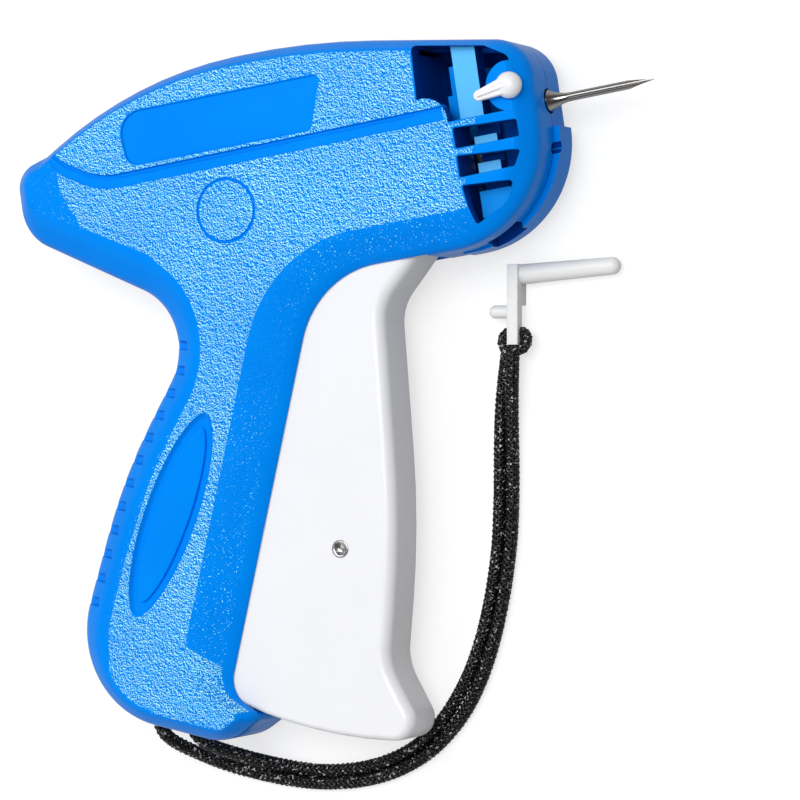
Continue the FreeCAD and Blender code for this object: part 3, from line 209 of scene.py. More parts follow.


def blue_plastic(name, grain=0.0, sparkles=0.0):
    """Glossy blue moulding; grain adds worm-like mould texture with a painted highlight and painted
    shade on its worms' sides, the other argument only painted bright specks that stand in for glints.
    """
    material, tree, shader = new_material(name)
    place = object_space(tree)
    cloud = noise(tree, place, 60.0, 3.0)
    colour = ramp(tree, cloud, ((0.3, BLUE_DEEP), (0.7, BLUE)))
    shader.inputs["IOR"].default_value = PLASTIC_IOR
    shader.inputs["Specular IOR Level"].default_value = BLUE_REFLECTION
    shader.inputs["Specular Tint"].default_value = BLUE_SHINE
    if grain or sparkles:
        shader.inputs["Roughness"].default_value = GRAIN_ROUGHNESS

        def worms(shift):
            moved = vectors(tree, "ADD", place, tuple(c * shift for c in RIDGE_STEP))
            return noise(tree, moved, WORM_SCALE, WORM_DETAIL, WORM_ROUGHNESS, WORM_DISTORTION)
        slope = maths(tree, "SUBTRACT", worms(1.0), worms(-1.0))
        patches = noise(tree, place, PATCH_SCALE, 2.0)
        if grain:
            # Painted highlight on the worms' rising slopes, painted shade on their falling slopes.
            lit = ramp(tree, slope, SLOPE_LIT)
            shade = ramp(tree, maths(tree, "ADD", slope, 0.5), SLOPE_SHADED)
            colour = mixed(tree, shade, colour, (*BLUE_SHADED_SLOPE, 1.0))
            strength = ramp(tree, patches, ((0.3, grey(grain * PATCH_LOW)), (0.7, grey(grain))))
        else:
            # Painted sparkles: sparse bright specks in the colour that stand in for glints.
            sparkle_specks = noise(tree, place, SPARKLE_SCALE, 0.0)
            lit = ramp(tree, sparkle_specks, ((0.74, grey(0.0)), (0.79, grey(1.0))))
            strength = ramp(tree, patches, ((0.35, grey(0.0)), (0.6, grey(sparkles))))
        # Colour of the painted highlight, from the lit slope's blue to a painted glint where the slope
        # is steepest.
        ridge = ramp(tree, slope, ((0.09, BLUE_LIT_SLOPE), (0.19, BLUE_GLINT)))
        colour = mixed(tree, maths(tree, "MULTIPLY", strength, lit), colour, ridge)
        normal = bump(tree, worms(0.0), 1.0, GRAIN_RELIEF if grain else SPARKLE_RELIEF)
    else:
        ripple = noise(tree, place, 220.0, 2.0)
        soft = noise(tree, place, 90.0, 2.0)
        rough = ramp(tree, soft, ((0.3, grey(0.2)), (0.7, grey(0.27))))
        tree.links.new(rough, shader.inputs["Roughness"])
        normal = bump(tree, ripple, 0.08, 0.0002)
    tree.links.new(colour, shader.inputs["Base Color"])
    tree.links.new(normal, shader.inputs["Normal"])
    return material


def plain_plastic(name, light, dark, roughness, ripple=0.06, translucency=0.0, shine=None):
    """Moulding with a faint cloudy change of tone; shine is the colour of a faint reflection."""
    material, tree, shader = new_material(name)
    place = object_space(tree)
    cloud = noise(tree, place, 45.0, 3.0)
    tree.links.new(ramp(tree, cloud, ((0.3, dark), (0.7, light))), shader.inputs["Base Color"])
    shader.inputs["Roughness"].default_value = roughness
    shader.inputs["IOR"].default_value = PLASTIC_IOR
    if shine:
        shader.inputs["Specular IOR Level"].default_value = BLUE_REFLECTION
        shader.inputs["Specular Tint"].default_value = shine
    if translucency:
        shader.inputs["Subsurface Weight"].default_value = translucency
        shader.inputs["Subsurface Radius"].default_value = (0.0012, 0.0011, 0.0010)
        shader.inputs["Subsurface Scale"].default_value = 1.0
    fine = noise(tree, place, 700.0, 3.0)
    tree.links.new(bump(tree, fine, ripple, 0.0001), shader.inputs["Normal"])
    return material


def metal(name, colour, roughness, streak=(1.0, 1.0, 1.0), streak_scale=400.0, relief=0.1):
    """Steel with fine marks drawn out along one axis."""
    material, tree, shader = new_material(name)
    place = object_space(tree)
    drawn = node(tree, "ShaderNodeMapping", {"Vector": place, "Scale": streak}).outputs[0]
    marks = noise(tree, drawn, streak_scale, 4.0, 0.6)
    tint = ramp(tree, marks, ((0.2, tuple(c * 0.86 for c in colour)), (0.8, colour)))
    tree.links.new(tint, shader.inputs["Base Color"])
    shader.inputs["Metallic"].default_value = 1.0
    rough = ramp(tree, marks, ((0.3, grey(roughness * 0.8)), (0.7, grey(roughness * 1.3))))
    tree.links.new(rough, shader.inputs["Roughness"])
    tree.links.new(bump(tree, marks, relief, 0.00003), shader.inputs["Normal"])
    return material


def braid_yarn(name):
    """Black filament yarn, with bright specks painted into its colour as glints."""
    material, tree, shader = new_material(name)
    place = object_space(tree)
    fibres = noise(tree, place, 2600.0, 3.0, 0.6)
    glint_specks = noise(tree, place, 1600.0, 0.0, 0.5, 0.8)
    # Painted glints: grey-white specks in the black.
    tint = ramp(tree, glint_specks, ((0.655, grey(0.002)), (0.69, grey(0.007)), (0.75, grey(0.45))))
    tree.links.new(tint, shader.inputs["Base Color"])
    rough = ramp(tree, fibres, ((0.35, grey(0.36)), (0.75, grey(0.2))))
    tree.links.new(rough, shader.inputs["Roughness"])
    shader.inputs["Specular IOR Level"].default_value = 0.4
    tree.links.new(bump(tree, fibres, 0.5, 0.00008), shader.inputs["Normal"])
    return material


blue_smooth = blue_plastic("blue_smooth")
# Grained blue, with a painted highlight and painted shade on its worms.
blue_grain_painted_light = blue_plastic("blue_grain_painted_light", grain=0.95)
# Blue with painted sparkles that stand in for glints.
blue_painted_sparkles = blue_plastic("blue_painted_sparkles", sparkles=0.8)
# Darker blue that paints the shade in the nose's rooms.
blue_room_shade = plain_plastic("blue_room_shade", BLUE_ROOM_SHADE, tuple(c * 0.9 for c in BLUE_ROOM_SHADE), 0.45,
                           shine=BLUE_SHINE)
blue_pad = plain_plastic("blue_pad", (0.01, 0.30, 0.90), (0.008, 0.28, 0.87), 0.4, shine=BLUE_SHINE)
blue_insert = plain_plastic("blue_insert", (0.05, 0.50, 1.0), (0.045, 0.47, 0.98), 0.4)
white_shell = plain_plastic("white_moulding", (0.82, 0.825, 0.85), (0.80, 0.805, 0.835), 0.3, 0.04, 0.1)
tool_white = plain_plastic("tool_white", (0.80, 0.80, 0.79), (0.78, 0.78, 0.77), 0.35, 0.04, 0.6)
natural_plastic = plain_plastic("natural_acetal", (0.66, 0.65, 0.60), (0.60, 0.59, 0.54), 0.42)
bright_steel = metal("bright_steel", (0.62, 0.61, 0.60), 0.22)
needle_steel = metal("needle_steel", (0.37, 0.36, 0.35), 0.18, (1.0, 6.0, 6.0), 90.0, 0.0)
spring_steel = metal("spring_steel", (0.56, 0.56, 0.58), 0.28)
black_yarn = braid_yarn("black_yarn")

# ============================== geometry nodes helpers ============================


def new_tree(name, sockets):
    """An empty tree with a geometry input and output and the named inputs after them."""
    tree = bpy.data.node_groups.new(name, "GeometryNodeTree")
    tree.interface.new_socket("Geometry", in_out="INPUT", socket_type="NodeSocketGeometry")
    for label, kind in sockets:
        tree.interface.new_socket(label, in_out="INPUT", socket_type="NodeSocket" + kind)
    tree.interface.new_socket("Geometry", in_out="OUTPUT", socket_type="NodeSocketGeometry")
    start = tree.nodes.new("NodeGroupInput")
    return tree, start.outputs


def close_tree(tree, geometry, material):
    """Ends a tree in Realize Instances and Set Material."""
    real = node(tree, "GeometryNodeRealizeInstances", {0: geometry}).outputs[0]
    done = node(tree, "GeometryNodeSetMaterial", {0: real, "Material": material}).outputs[0]
    tree.links.new(done, tree.nodes.new("NodeGroupOutput").inputs[0])


def swept(tree, line, sides, radius):
    """Mesh of a round section drawn along a line, with its ends closed."""
    circle = node(tree, "GeometryNodeCurvePrimitiveCircle", {"Resolution": sides, "Radius": radius})
    return node(tree, "GeometryNodeCurveToMesh",
                {0: line, 1: circle.outputs[0], "Fill Caps": True}).outputs[0]


def kept(tree, name, kind="FLOAT_VECTOR"):
    """Value that was stored under a name on each point."""
    return node(tree, "GeometryNodeInputNamedAttribute", {"Name": name}, data_type=kind).outputs[0]


def grow(name, host, tree, values):
    """Plain mesh object that the tree makes from the host, which is then removed."""
    modifier = host.modifiers.new(name, "NODES")
    modifier.node_group = tree
    for item in tree.interface.items_tree:
        if item.in_out == "INPUT" and item.name in values:
            modifier[item.identifier] = values[item.name]
    host.update_tag()
    evaluated = host.evaluated_get(bpy.context.evaluated_depsgraph_get())
    mesh = bpy.data.meshes.new_from_object(evaluated)
    mesh.name = name
    piece = bpy.data.objects.new(name, mesh)
    bpy.context.collection.objects.link(piece)
    bpy.data.objects.remove(host)
    return piece


def polyline(name, points, closed=False):
    """Mesh object of one chain of edges."""
    mesh = bpy.data.meshes.new(name)
    count = len(points)
    edges = [(i, (i + 1) % count) for i in range(count if closed else count - 1)]
    mesh.from_pydata([tuple(p) for p in points], edges, [])
    host = bpy.data.objects.new(name, mesh)
    bpy.context.collection.objects.link(host)
    return host


# ============================== strap =============================================

STRAP_D = 2.8
STRAND_OUTER = (
    (-109.6, -111.0, 12.0), (-111.2, -116.6, 12.0), (-111.2, -120.1, 10.6), (-109.9, -122.7, 7.6),
    (-107.2, -125.2, 4.6), (-103.2, -128.0, 2.2), (-97.6, -130.5, 1.4), (-89.0, -133.4, 1.4),
    (-79.6, -135.6, 1.4), (-69.0, -136.3, 1.4), (-58.8, -134.7, 1.4), (-49.3, -130.2, 1.4),
    (-41.0, -122.4, 1.4), (-34.8, -112.0, 1.4), (-30.2, -100.6, 1.4), (-26.8, -89.4, 1.4),
    (-24.7, -78.4, 1.4), (-23.1, -68.0, 1.8), (-21.4, -59.2, 3.1), (-19.3, -49.6, 3.8),
)
STRAND_INNER = (
    (-105.0, -111.2, 12.0), (-103.6, -119.0, 12.0), (-102.2, -122.4, 11.2), (-100.4, -124.4, 8.8),
    (-97.6, -126.4, 5.4), (-93.6, -128.6, 2.4), (-87.4, -130.8, 1.4), (-80.0, -132.8, 1.4),
    (-71.4, -133.6, 1.4), (-61.8, -132.7, 1.4), (-52.8, -129.1, 1.4), (-44.6, -121.8, 1.4),
    (-38.0, -112.1, 1.4), (-33.3, -101.2, 1.4), (-29.8, -90.0, 1.4), (-27.7, -78.9, 1.4),
    (-26.1, -68.7, 1.4), (-24.3, -59.0, 1.4), (-21.5, -49.8, 1.6),
)


def route_points(name, route, closed=False):
    """Points read from the smooth spline that has the route's points as its control points."""
    curve = bpy.data.curves.new(name, "CURVE")
    curve.dimensions = "3D"
    curve.resolution_u = 12
    spline = curve.splines.new("NURBS")
    spline.points.add(len(route) - 1)
    for point, place in zip(spline.points, route):
        point.co = (*at(*place), 1.0)
    spline.order_u = 3
    spline.use_cyclic_u = closed
    spline.use_endpoint_u = not closed
    holder = bpy.data.objects.new(name, curve)
    bpy.context.collection.objects.link(holder)
    mesh = bpy.data.meshes.new_from_object(holder.evaluated_get(bpy.context.evaluated_depsgraph_get()))
    points = [v.co.copy() for v in mesh.vertices]
    bpy.data.objects.remove(holder)
    bpy.data.meshes.remove(mesh)
    return points


YARN_R, YARN_WAVE, BRAID_PITCH, BRAID_STEP, BRAID_PAIRS = 0.36, 0.17, 7.0, 0.4, 6
CORE_SIDES, YARN_SIDES, CORE_SINK = 10, 5, 0.45
HITCH_D, END_KNOT_D = 2.3, 2.6


def stored(tree, line, name, value, kind="FLOAT_VECTOR"):
    """The line with a value stored under a name on each point."""
    return node(tree, "GeometryNodeStoreNamedAttribute", {0: line, "Name": name, "Value": value},
                data_type=kind).outputs[0]


def braid_tree():
    """Tree that lays interlaced yarns and a core along a chain of edges."""
    tree, given = new_tree("braid", (("Radius", "Float"), ("Yarn", "Float"), ("Wave", "Float"),
                                     ("Pitch", "Float"), ("Step", "Float"), ("Pairs", "Int")))
    chain = node(tree, "GeometryNodeMeshToCurve", {0: given["Geometry"]}).outputs[0]
    chain = node(tree, "GeometryNodeResampleCurve", {0: chain, "Length": given["Step"]},
                 mode="LENGTH").outputs[0]
    chain = stored(tree, chain, "side", tree.nodes.new("GeometryNodeInputNormal").outputs[0])
    chain = stored(tree, chain, "way", tree.nodes.new("GeometryNodeInputTangent").outputs[0])
    length = tree.nodes.new("GeometryNodeSplineParameter").outputs["Length"]
    chain = stored(tree, chain, "run", length, "FLOAT")
    sunk = maths(tree, "MULTIPLY", given["Yarn"], CORE_SINK)
    core = swept(tree, chain, CORE_SIDES, maths(tree, "SUBTRACT", given["Radius"], sunk))
    amount = maths(tree, "MULTIPLY", given["Pairs"], 2.0)
    copies = node(tree, "GeometryNodeDuplicateElements", {0: chain, "Amount": amount}, domain="SPLINE")
    index = copies.outputs["Duplicate Index"]
    hand = maths(tree, "SUBTRACT", maths(tree, "MULTIPLY", maths(tree, "MODULO", index, 2.0), 2.0), 1.0)
    pitches = maths(tree, "DIVIDE", kept(tree, "run", "FLOAT"), given["Pitch"])
    turn = maths(tree, "MULTIPLY", pitches, math.tau)
    pair = maths(tree, "FLOOR", maths(tree, "DIVIDE", index, 2.0))
    share = maths(tree, "DIVIDE", pair, given["Pairs"])
    angle = maths(tree, "ADD", maths(tree, "MULTIPLY", turn, hand),
                  maths(tree, "MULTIPLY", share, math.tau))
    weave = maths(tree, "COSINE", maths(tree, "MULTIPLY", turn, given["Pairs"]))
    lift = maths(tree, "MULTIPLY", maths(tree, "MULTIPLY", weave, hand), given["Wave"])
    reach = maths(tree, "ADD", given["Radius"], lift)
    side = kept(tree, "side")
    across = vectors(tree, "CROSS_PRODUCT", kept(tree, "way"), side)
    out = vectors(tree, "ADD", vectors(tree, "SCALE", side, maths(tree, "COSINE", angle)),
                  vectors(tree, "SCALE", across, maths(tree, "SINE", angle)))
    offset = vectors(tree, "SCALE", out, reach)
    yarns = node(tree, "GeometryNodeSetPosition", {0: copies.outputs[0], "Offset": offset}).outputs[0]
    yarns = swept(tree, yarns, YARN_SIDES, given["Yarn"])
    joined = tree.nodes.new("GeometryNodeJoinGeometry")
    tree.links.new(core, joined.inputs[0])
    tree.links.new(yarns, joined.inputs[0])
    smooth = node(tree, "GeometryNodeSetShadeSmooth", {0: joined.outputs[0]}).outputs[0]
    for label in ("side", "way", "run"):
        smooth = node(tree, "GeometryNodeRemoveAttribute", {0: smooth, "Name": label}).outputs[0]
    close_tree(tree, smooth, black_yarn)
    return tree


BRAID = braid_tree()


def braid(name, points, diameter=STRAP_D, closed=False):
    """Braided piece along the points."""
    radius = diameter / 2 - YARN_R + YARN_WAVE * 0.35
    values = {"Radius": radius * MM, "Yarn": YARN_R * MM, "Wave": YARN_WAVE * MM,
              "Pitch": BRAID_PITCH * MM, "Step": BRAID_STEP * MM, "Pairs": BRAID_PAIRS}
    return grow(name, polyline(name, points, closed), BRAID, values)


def path_length(points):
    return sum((b - a).length for a, b in zip(points[:-1], points[1:]))


TOOL_FOOT = (-18.8, -48.4)
TOOL_TILT = math.radians(-8.8)


def on_tool(x, y, z):
    """A place beside the clearing tool, whose stem stands on its foot."""
    c, s = math.cos(TOOL_TILT), math.sin(TOOL_TILT)
    return (TOOL_FOOT[0] + x * c - y * s, TOOL_FOOT[1] + x * s + y * c, z)


HITCH_LOOP = ((0.0, -1.2, 3.9), (1.7, -1.0, 3.7), (2.7, 0.4, 3.3), (2.45, 2.2, 3.0), (1.2, 2.75, 2.6),
              (-1.2, 2.75, 2.6), (-2.45, 2.2, 3.0), (-2.9, 0.4, 3.3), (-1.9, -1.1, 3.7))
END_KNOT = (
    (-105.0, -109.0, 12.6), (-107.0, -107.6, 14.0), (-109.4, -108.6, 13.2), (-109.8, -111.0, 11.4),
    (-107.6, -112.0, 10.2), (-105.4, -110.8, 10.8), (-106.2, -108.8, 11.6), (-108.6, -109.6, 12.2),
)


def make_strap():
    outer_line = route_points("outer_route", STRAND_OUTER)
    inner_line = route_points("inner_route", STRAND_INNER)
    outer = braid("strap_outer_strand", outer_line)
    inner = braid("strap_inner_strand", inner_line)
    hitch_line = route_points("hitch_route", [on_tool(*p) for p in HITCH_LOOP], True)
    hitch = braid("strap_hitch", hitch_line, HITCH_D, True)
    knot = braid("strap_end_knot_braid", route_points("knot_route", END_KNOT, True), END_KNOT_D, True)
    for piece, name in ((outer, "strap_strand_outer"), (inner, "strap_strand_inner"),
                        (hitch, "strap_hitch_knot"), (knot, "strap_end_knot")):
        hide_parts(name)
        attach(piece, "housing")
    return outer, outer_line, inner, inner_line, hitch, knot


outer, outer_line, inner, inner_line, hitch, end_knot = make_strap()

# ============================== outlines and solids ===============================


def is_hollow(points, i):
    """Whether a corner of a clockwise outline points inwards."""
    a, p, b = points[i - 1], points[i], points[(i + 1) % len(points)]
    return (p.x - a.x) * (b.y - p.y) - (p.y - a.y) * (b.x - p.x) > 0


def inset_corners(points, insets):
    """Corners of a clockwise outline after each side has moved inwards by its inset."""
    moved = []
    for i, p in enumerate(points):
        before = (p - points[i - 1]).normalized()
        after = (points[(i + 1) % len(points)] - p).normalized()
        q1 = p + Vector((before.y, -before.x)) * insets[i - 1]
        q2 = p + Vector((after.y, -after.x)) * insets[i]
        cross = before.x * after.y - before.y * after.x
        t = ((q2 - q1).x * after.y - (q2 - q1).y * after.x) / cross
        moved.append(q1 + before * t)
    return moved


def arc_steps(points):
    """How many chords the arc at each corner gets, a chord to about four degrees."""
    steps = []
    for i, p in enumerate(points):
        turn = (p - points[i - 1]).angle(points[(i + 1) % len(points)] - p)
        steps.append(max(4, math.ceil(math.degrees(turn) / 4.0)))
    return steps


def rounded(points, radii, steps):
    """Places along an outline whose corners are arcs, each cut into its steps."""
    places = []
    for i, p in enumerate(points):
        back = (points[i - 1] - p).normalized()
        on = (points[(i + 1) % len(points)] - p).normalized()
        half = back.angle(on) / 2
        bisector = (back + on).normalized()
        centre = p + bisector * (radii[i] / math.sin(half))
        start = p + back * (radii[i] / math.tan(half)) - centre
        end = p + on * (radii[i] / math.tan(half)) - centre
        sweep = start.angle(end)
        if start.x * end.y - start.y * end.x < 0:
            sweep = -sweep
        for k in range(steps[i] + 1):
            a = sweep * k / steps[i]
            places.append(centre + Vector((start.x * math.cos(a) - start.y * math.sin(a),
                                           start.x * math.sin(a) + start.y * math.cos(a))))
    return places


def from_mesh(name, mesh_maker):
    """Object from a bmesh that the maker fills, with its normals turned outwards."""
    form = bmesh.new()
    mesh_maker(form)
    bmesh.ops.recalc_face_normals(form, faces=form.faces)
    mesh = bpy.data.meshes.new(name)
    form.to_mesh(mesh)
    form.free()
    piece = bpy.data.objects.new(name, mesh)
    bpy.context.collection.objects.link(piece)
    return piece


def loft(name, rings, mark=None):
    """Closed solid through rings of the same count, each a list of (x, y, z) in mm.

    mark(ring, place) gives a face's material number.
    """
    def fill(form):
        levels = [[form.verts.new(at(*p)) for p in ring] for ring in rings]
        count = len(rings[0])
        for k, (low, high) in enumerate(zip(levels[:-1], levels[1:])):
            for j in range(count):
                face = form.faces.new((low[j], low[(j + 1) % count], high[(j + 1) % count], high[j]))
                face.material_index = mark(k, j) if mark else 0
        for level, k in ((levels[0], -1), (levels[-1], len(levels) - 1)):
            form.faces.new(level).material_index = mark(k, 0) if mark else 0
    return from_mesh(name, fill)


def plan(corners):
    """Corners and radii of an outline that is given as (x, y, radius)."""
    return [Vector(c[:2]) for c in corners], [c[2] for c in corners]


def prism(name, corners, z0, z1, flare=0.0, flare_at=0.0):
    """Upright block with rounded corners; flare widens its upper end from height flare_at."""
    points, radii = plan(corners)
    steps = arc_steps(points)
    levels = [(z0, 0.0), (z1, 0.0)]
    if flare:
        levels = [(z0, 0.0), (flare_at - flare, 0.0), (flare_at - 0.35 * flare, 0.25 * flare),
                  (flare_at, flare), (z1, flare + 0.02)]
    rings = []
    for z, spread in levels:
        moved = inset_corners(points, [-spread] * len(points)) if spread else points
        grown = []
        for i, r in enumerate(radii):
            grown.append(max(r - spread, 0.05) if is_hollow(points, i) else r + spread)
        rings.append([(p.x, p.y, z) for p in rounded(moved, grown, steps)])
    return loft(name, rings)


def block(name, x0, x1, y0, y1, z0, z1):
    rings = [[(x0, y0, z), (x0, y1, z), (x1, y1, z), (x1, y0, z)] for z in (z0, z1)]
    return loft(name, rings)


def turned(name, axis, foot, profile, count=32):
    """Solid of revolution: profile is (distance along the axis, radius) from the foot."""
    axis = Vector(axis).normalized()
    side = axis.orthogonal().normalized()
    other = axis.cross(side)
    rings = []
    for along, r in profile:
        ring = []
        for k in range(count):
            a = math.tau * k / count
            out = side * math.cos(a) + other * math.sin(a)
            ring.append(tuple(Vector(foot) + axis * along + out * r))
        rings.append(ring)
    return loft(name, rings)


def pillar(name, x, y, r, z0, z1, count=32):
    return turned(name, (0, 0, 1), (x, y, z0), ((0.0, r), (z1 - z0, r)), count)


def bake_modifiers(piece):
    """Turns what the modifiers show into the piece's own mesh."""
    evaluated = piece.evaluated_get(bpy.context.evaluated_depsgraph_get())
    mesh = bpy.data.meshes.new_from_object(evaluated)
    piece.modifiers.clear()
    old = piece.data
    piece.data = mesh
    bpy.data.meshes.remove(old)


def carve(piece, others, operation="DIFFERENCE"):
    """Cuts, joins or trims the piece with other solids, which are used up."""
    for other in others:
        step = piece.modifiers.new("carve", "BOOLEAN")
        step.operation = operation
        step.object = other
        step.solver = "EXACT"
    bake_modifiers(piece)
    for other in others:
        bpy.data.objects.remove(other)
    return piece


BEVEL_STEPS = 2


def finish_piece(piece, body, materials, nodes=(), sharp=35.0, bevel=0.0):
    """Smooths the shading but for real edges, and gives the piece its materials and body."""
    marks = [face.material_index for face in piece.data.polygons]
    piece.data.materials.clear()
    for material in materials:
        piece.data.materials.append(material)
    piece.data.polygons.foreach_set("material_index", [min(m, len(materials) - 1) for m in marks])
    clean = bmesh.new()
    clean.from_mesh(piece.data)
    bmesh.ops.remove_doubles(clean, verts=clean.verts, dist=0.00001)
    bmesh.ops.dissolve_degenerate(clean, edges=clean.edges, dist=0.00001)
    clean.to_mesh(piece.data)
    clean.free()
    if bevel:
        edge = piece.modifiers.new("edge", "BEVEL")
        edge.width = bevel * MM
        edge.segments = BEVEL_STEPS
        edge.limit_method = "ANGLE"
        edge.angle_limit = math.radians(sharp)
        edge.use_clamp_overlap = True
        bake_modifiers(piece)
    piece.data.shade_smooth()
    piece.data.set_sharp_from_angle(angle=math.radians(sharp))
    weigh = piece.modifiers.new("weigh", "WEIGHTED_NORMAL")
    weigh.keep_sharp = True
    weigh.weight = 100
    bake_modifiers(piece)
    if nodes:
        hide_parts(*nodes)
    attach(piece, body)
    return piece


# ============================== casing ============================================

BLUES = (blue_smooth, blue_grain_painted_light, blue_painted_sparkles, blue_room_shade)
SMOOTH, GRAIN_PAINTED_LIGHT, PAINTED_SPARKLES, ROOM_SHADE = range(4)   # their numbers in BLUES
THICKNESS = 24.0
PARTING = THICKNESS / 2
WALL = 2.0
SHOULDER = 4.0
SEAM_GAP = 0.08             # half of the fine line between the shells

# Outline, clockwise from the top of the nose: corner, radius at the parting plane, radius
# on the flat face, width of the sloping band along the side that follows.
OUTLINE = (
    (0.0, 12.6, 9.0, 6.0, 3.5), (0.0, -28.0, 23.0, 17.0, 7.0), (-55.0, -28.0, 20.4, 29.0, 10.0),
    (-88.9, -113.3, 6.0, 9.0, 2.0), (-81.9, -119.0, 1.5, 1.0, 2.0), (-91.6, -124.0, 11.0, 4.0, 3.0),
    (-130.3, -110.1, 21.0, 16.0, 6.0), (-107.8, -63.3, 120.0, 126.0, 6.0),
    (-83.4, -32.3, 14.0, 20.0, 6.0), (-123.9, -7.6, 10.0, 6.0, 4.0), (-123.9, 6.9, 6.0, 3.0, 3.0),
    (-115.4, 9.1, 1.0, 1.0, 2.5), (-91.5, 22.0, 96.0, 93.0, 2.5), (-49.9, 22.0, 170.0, 167.0, 2.5),
)
CASING_POINTS = [Vector(c[:2]) for c in OUTLINE]
CASING_STEPS = arc_steps(CASING_POINTS)
GRAINED_CORNERS = (1, 2, 3)  # the bands of the nose's bottom and the handle's front
PLAIN_CORNERS = (0, 6, 7, 8, 9, 10, 11)   # nose, back and tail, polished up to the flat face
LIP_CORNER = 3               # the handle's foot under the trigger, grained all the way
BAND_GRAIN_X = -16.0         # forward of here the nose's band is smooth


def casing_ring(slope, wall, z):
    """Outline at height z; slope runs from 0 at the side wall to 1 at the flat face."""
    insets = [slope * corner[4] + wall for corner in OUTLINE]
    radii = []
    for i, corner in enumerate(OUTLINE):
        radius = corner[2] + slope * (corner[3] - corner[2])
        radii.append(radius + wall if is_hollow(CASING_POINTS, i) else max(radius - wall, 0.4))
    return [(p.x, p.y, z) for p in rounded(inset_corners(CASING_POINTS, insets), radii, CASING_STEPS)]


def corner_of(place):
    """Which corner of the outline a ring's place belongs to."""
    count = 0
    for i, steps in enumerate(CASING_STEPS):
        count += steps + 1
        if place < count:
            return i
    return len(CASING_STEPS) - 1


def eased(a, corner, b, count):
    """Places on the curve that rounds a corner of the section."""
    curve = []
    for k in range(count + 1):
        t = k / count
        curve.append(tuple(p * (1 - t) ** 2 + q * 2 * t * (1 - t) + r * t ** 2
                           for p, q, r in zip(a, corner, b)))
    return curve


# Section of the casing from the parting plane to the flat face, as (slope, height).
RIM_Z = THICKNESS - SHOULDER
SECTION = [(0.0, PARTING + SEAM_GAP), (0.0, 15.5)]
SECTION += eased((0.0, RIM_Z - 1.7), (0.0, RIM_Z), (0.36, RIM_Z + 0.36 * SHOULDER), 6)
SECTION += eased((0.66, RIM_Z + 0.66 * SHOULDER), (1.0, THICKNESS), (1.3, THICKNESS), 6)


def side_z(z, flip):
    """A height on the right shell, or with flip the matching height on the left shell."""
    return THICKNESS - z if flip else z


def casing_form(name, flip=False):
    """Outer form of one shell, with its grained faces, which carry a painted highlight and shade, and
    its faces with painted sparkles marked.
    """
    rings = [casing_ring(slope, 0.0, side_z(z, flip)) for slope, z in SECTION]
    corners = [corner_of(j) for j in range(len(rings[0]))]

    def mark(k, j):
        if k == len(SECTION) - 1:
            return GRAIN_PAINTED_LIGHT
        if k >= len(SECTION) - 3:
            nose = corners[j] == 1 and rings[k][j][0] > BAND_GRAIN_X
            return SMOOTH if corners[j] in PLAIN_CORNERS or nose else GRAIN_PAINTED_LIGHT
        if k < 0 or SECTION[k][0] < 0.25 or corners[j] not in GRAINED_CORNERS:
            return SMOOTH
        if corners[j] == LIP_CORNER:
            return GRAIN_PAINTED_LIGHT
        return PAINTED_SPARKLES if rings[k][j][0] < BAND_GRAIN_X else SMOOTH
    return loft(name, rings, mark)


CORE_ROOT = 1.0             # how far ribs and bosses run into the wall that carries them


def casing_hollow(name, flip=False, wall=WALL):
    """Room inside one shell, an even wall in from its outer form."""
    edge = THICKNESS - SHOULDER - 0.6 * wall
    rings = [casing_ring(0, wall, side_z(z, flip)) for z in (PARTING - 1.0, edge)]
    rings.append(casing_ring(1, wall, side_z(THICKNESS - wall, flip)))
    return loft(name, rings)


TRIGGER_PIVOT = (-34.2, -20.0)
TRIGGER_SWEEP_R = 110.0
ROOM_HALF = 7.3
ROOM = ((-29.2, -20.0, 0.2), (-29.2, -140.0, 0.2), (-100.0, -140.0, 0.2), (-97.0, -112.0, 0.2),
        (-64.6, -31.0, 20.0), (-44.0, -20.0, 5.0))


def trigger_room():
    """Room in the handle that the trigger swings into."""
    room = prism("room", ROOM, PARTING - ROOM_HALF, PARTING + ROOM_HALF)
    sweep = pillar("sweep", *TRIGGER_PIVOT, TRIGGER_SWEEP_R, 0.0, THICKNESS, 256)
    return carve(room, [sweep], "INTERSECT")


def bar_x(name, r, x0, x1, y=0.0, count=32):
    """Round bar along the gun in the parting plane."""
    return turned(name, (1, 0, 0), (x0, y, PARTING), ((0.0, r), (x1 - x0, r)), count)


NOTCH_COUNT = 12
NOTCH_FIRST, NOTCH_LAST = Vector((-89.1, -37.2)), Vector((-117.1, -90.3))
NOTCH_WAY = Vector((0.985, -0.17))   # they all run the same way into the band
NOTCH_HALF, NOTCH_L, NOTCH_CORNER, NOTCH_LEAN = 0.85, 4.0, 0.35, 1.0
NOTCH_FOOT, NOTCH_RISE = RIM_Z - 1.2, 0.5   # height of a notch's floor, and its climb into the band
NOTCH_OUT = -2.0                            # where the cutters begin, outside the side wall


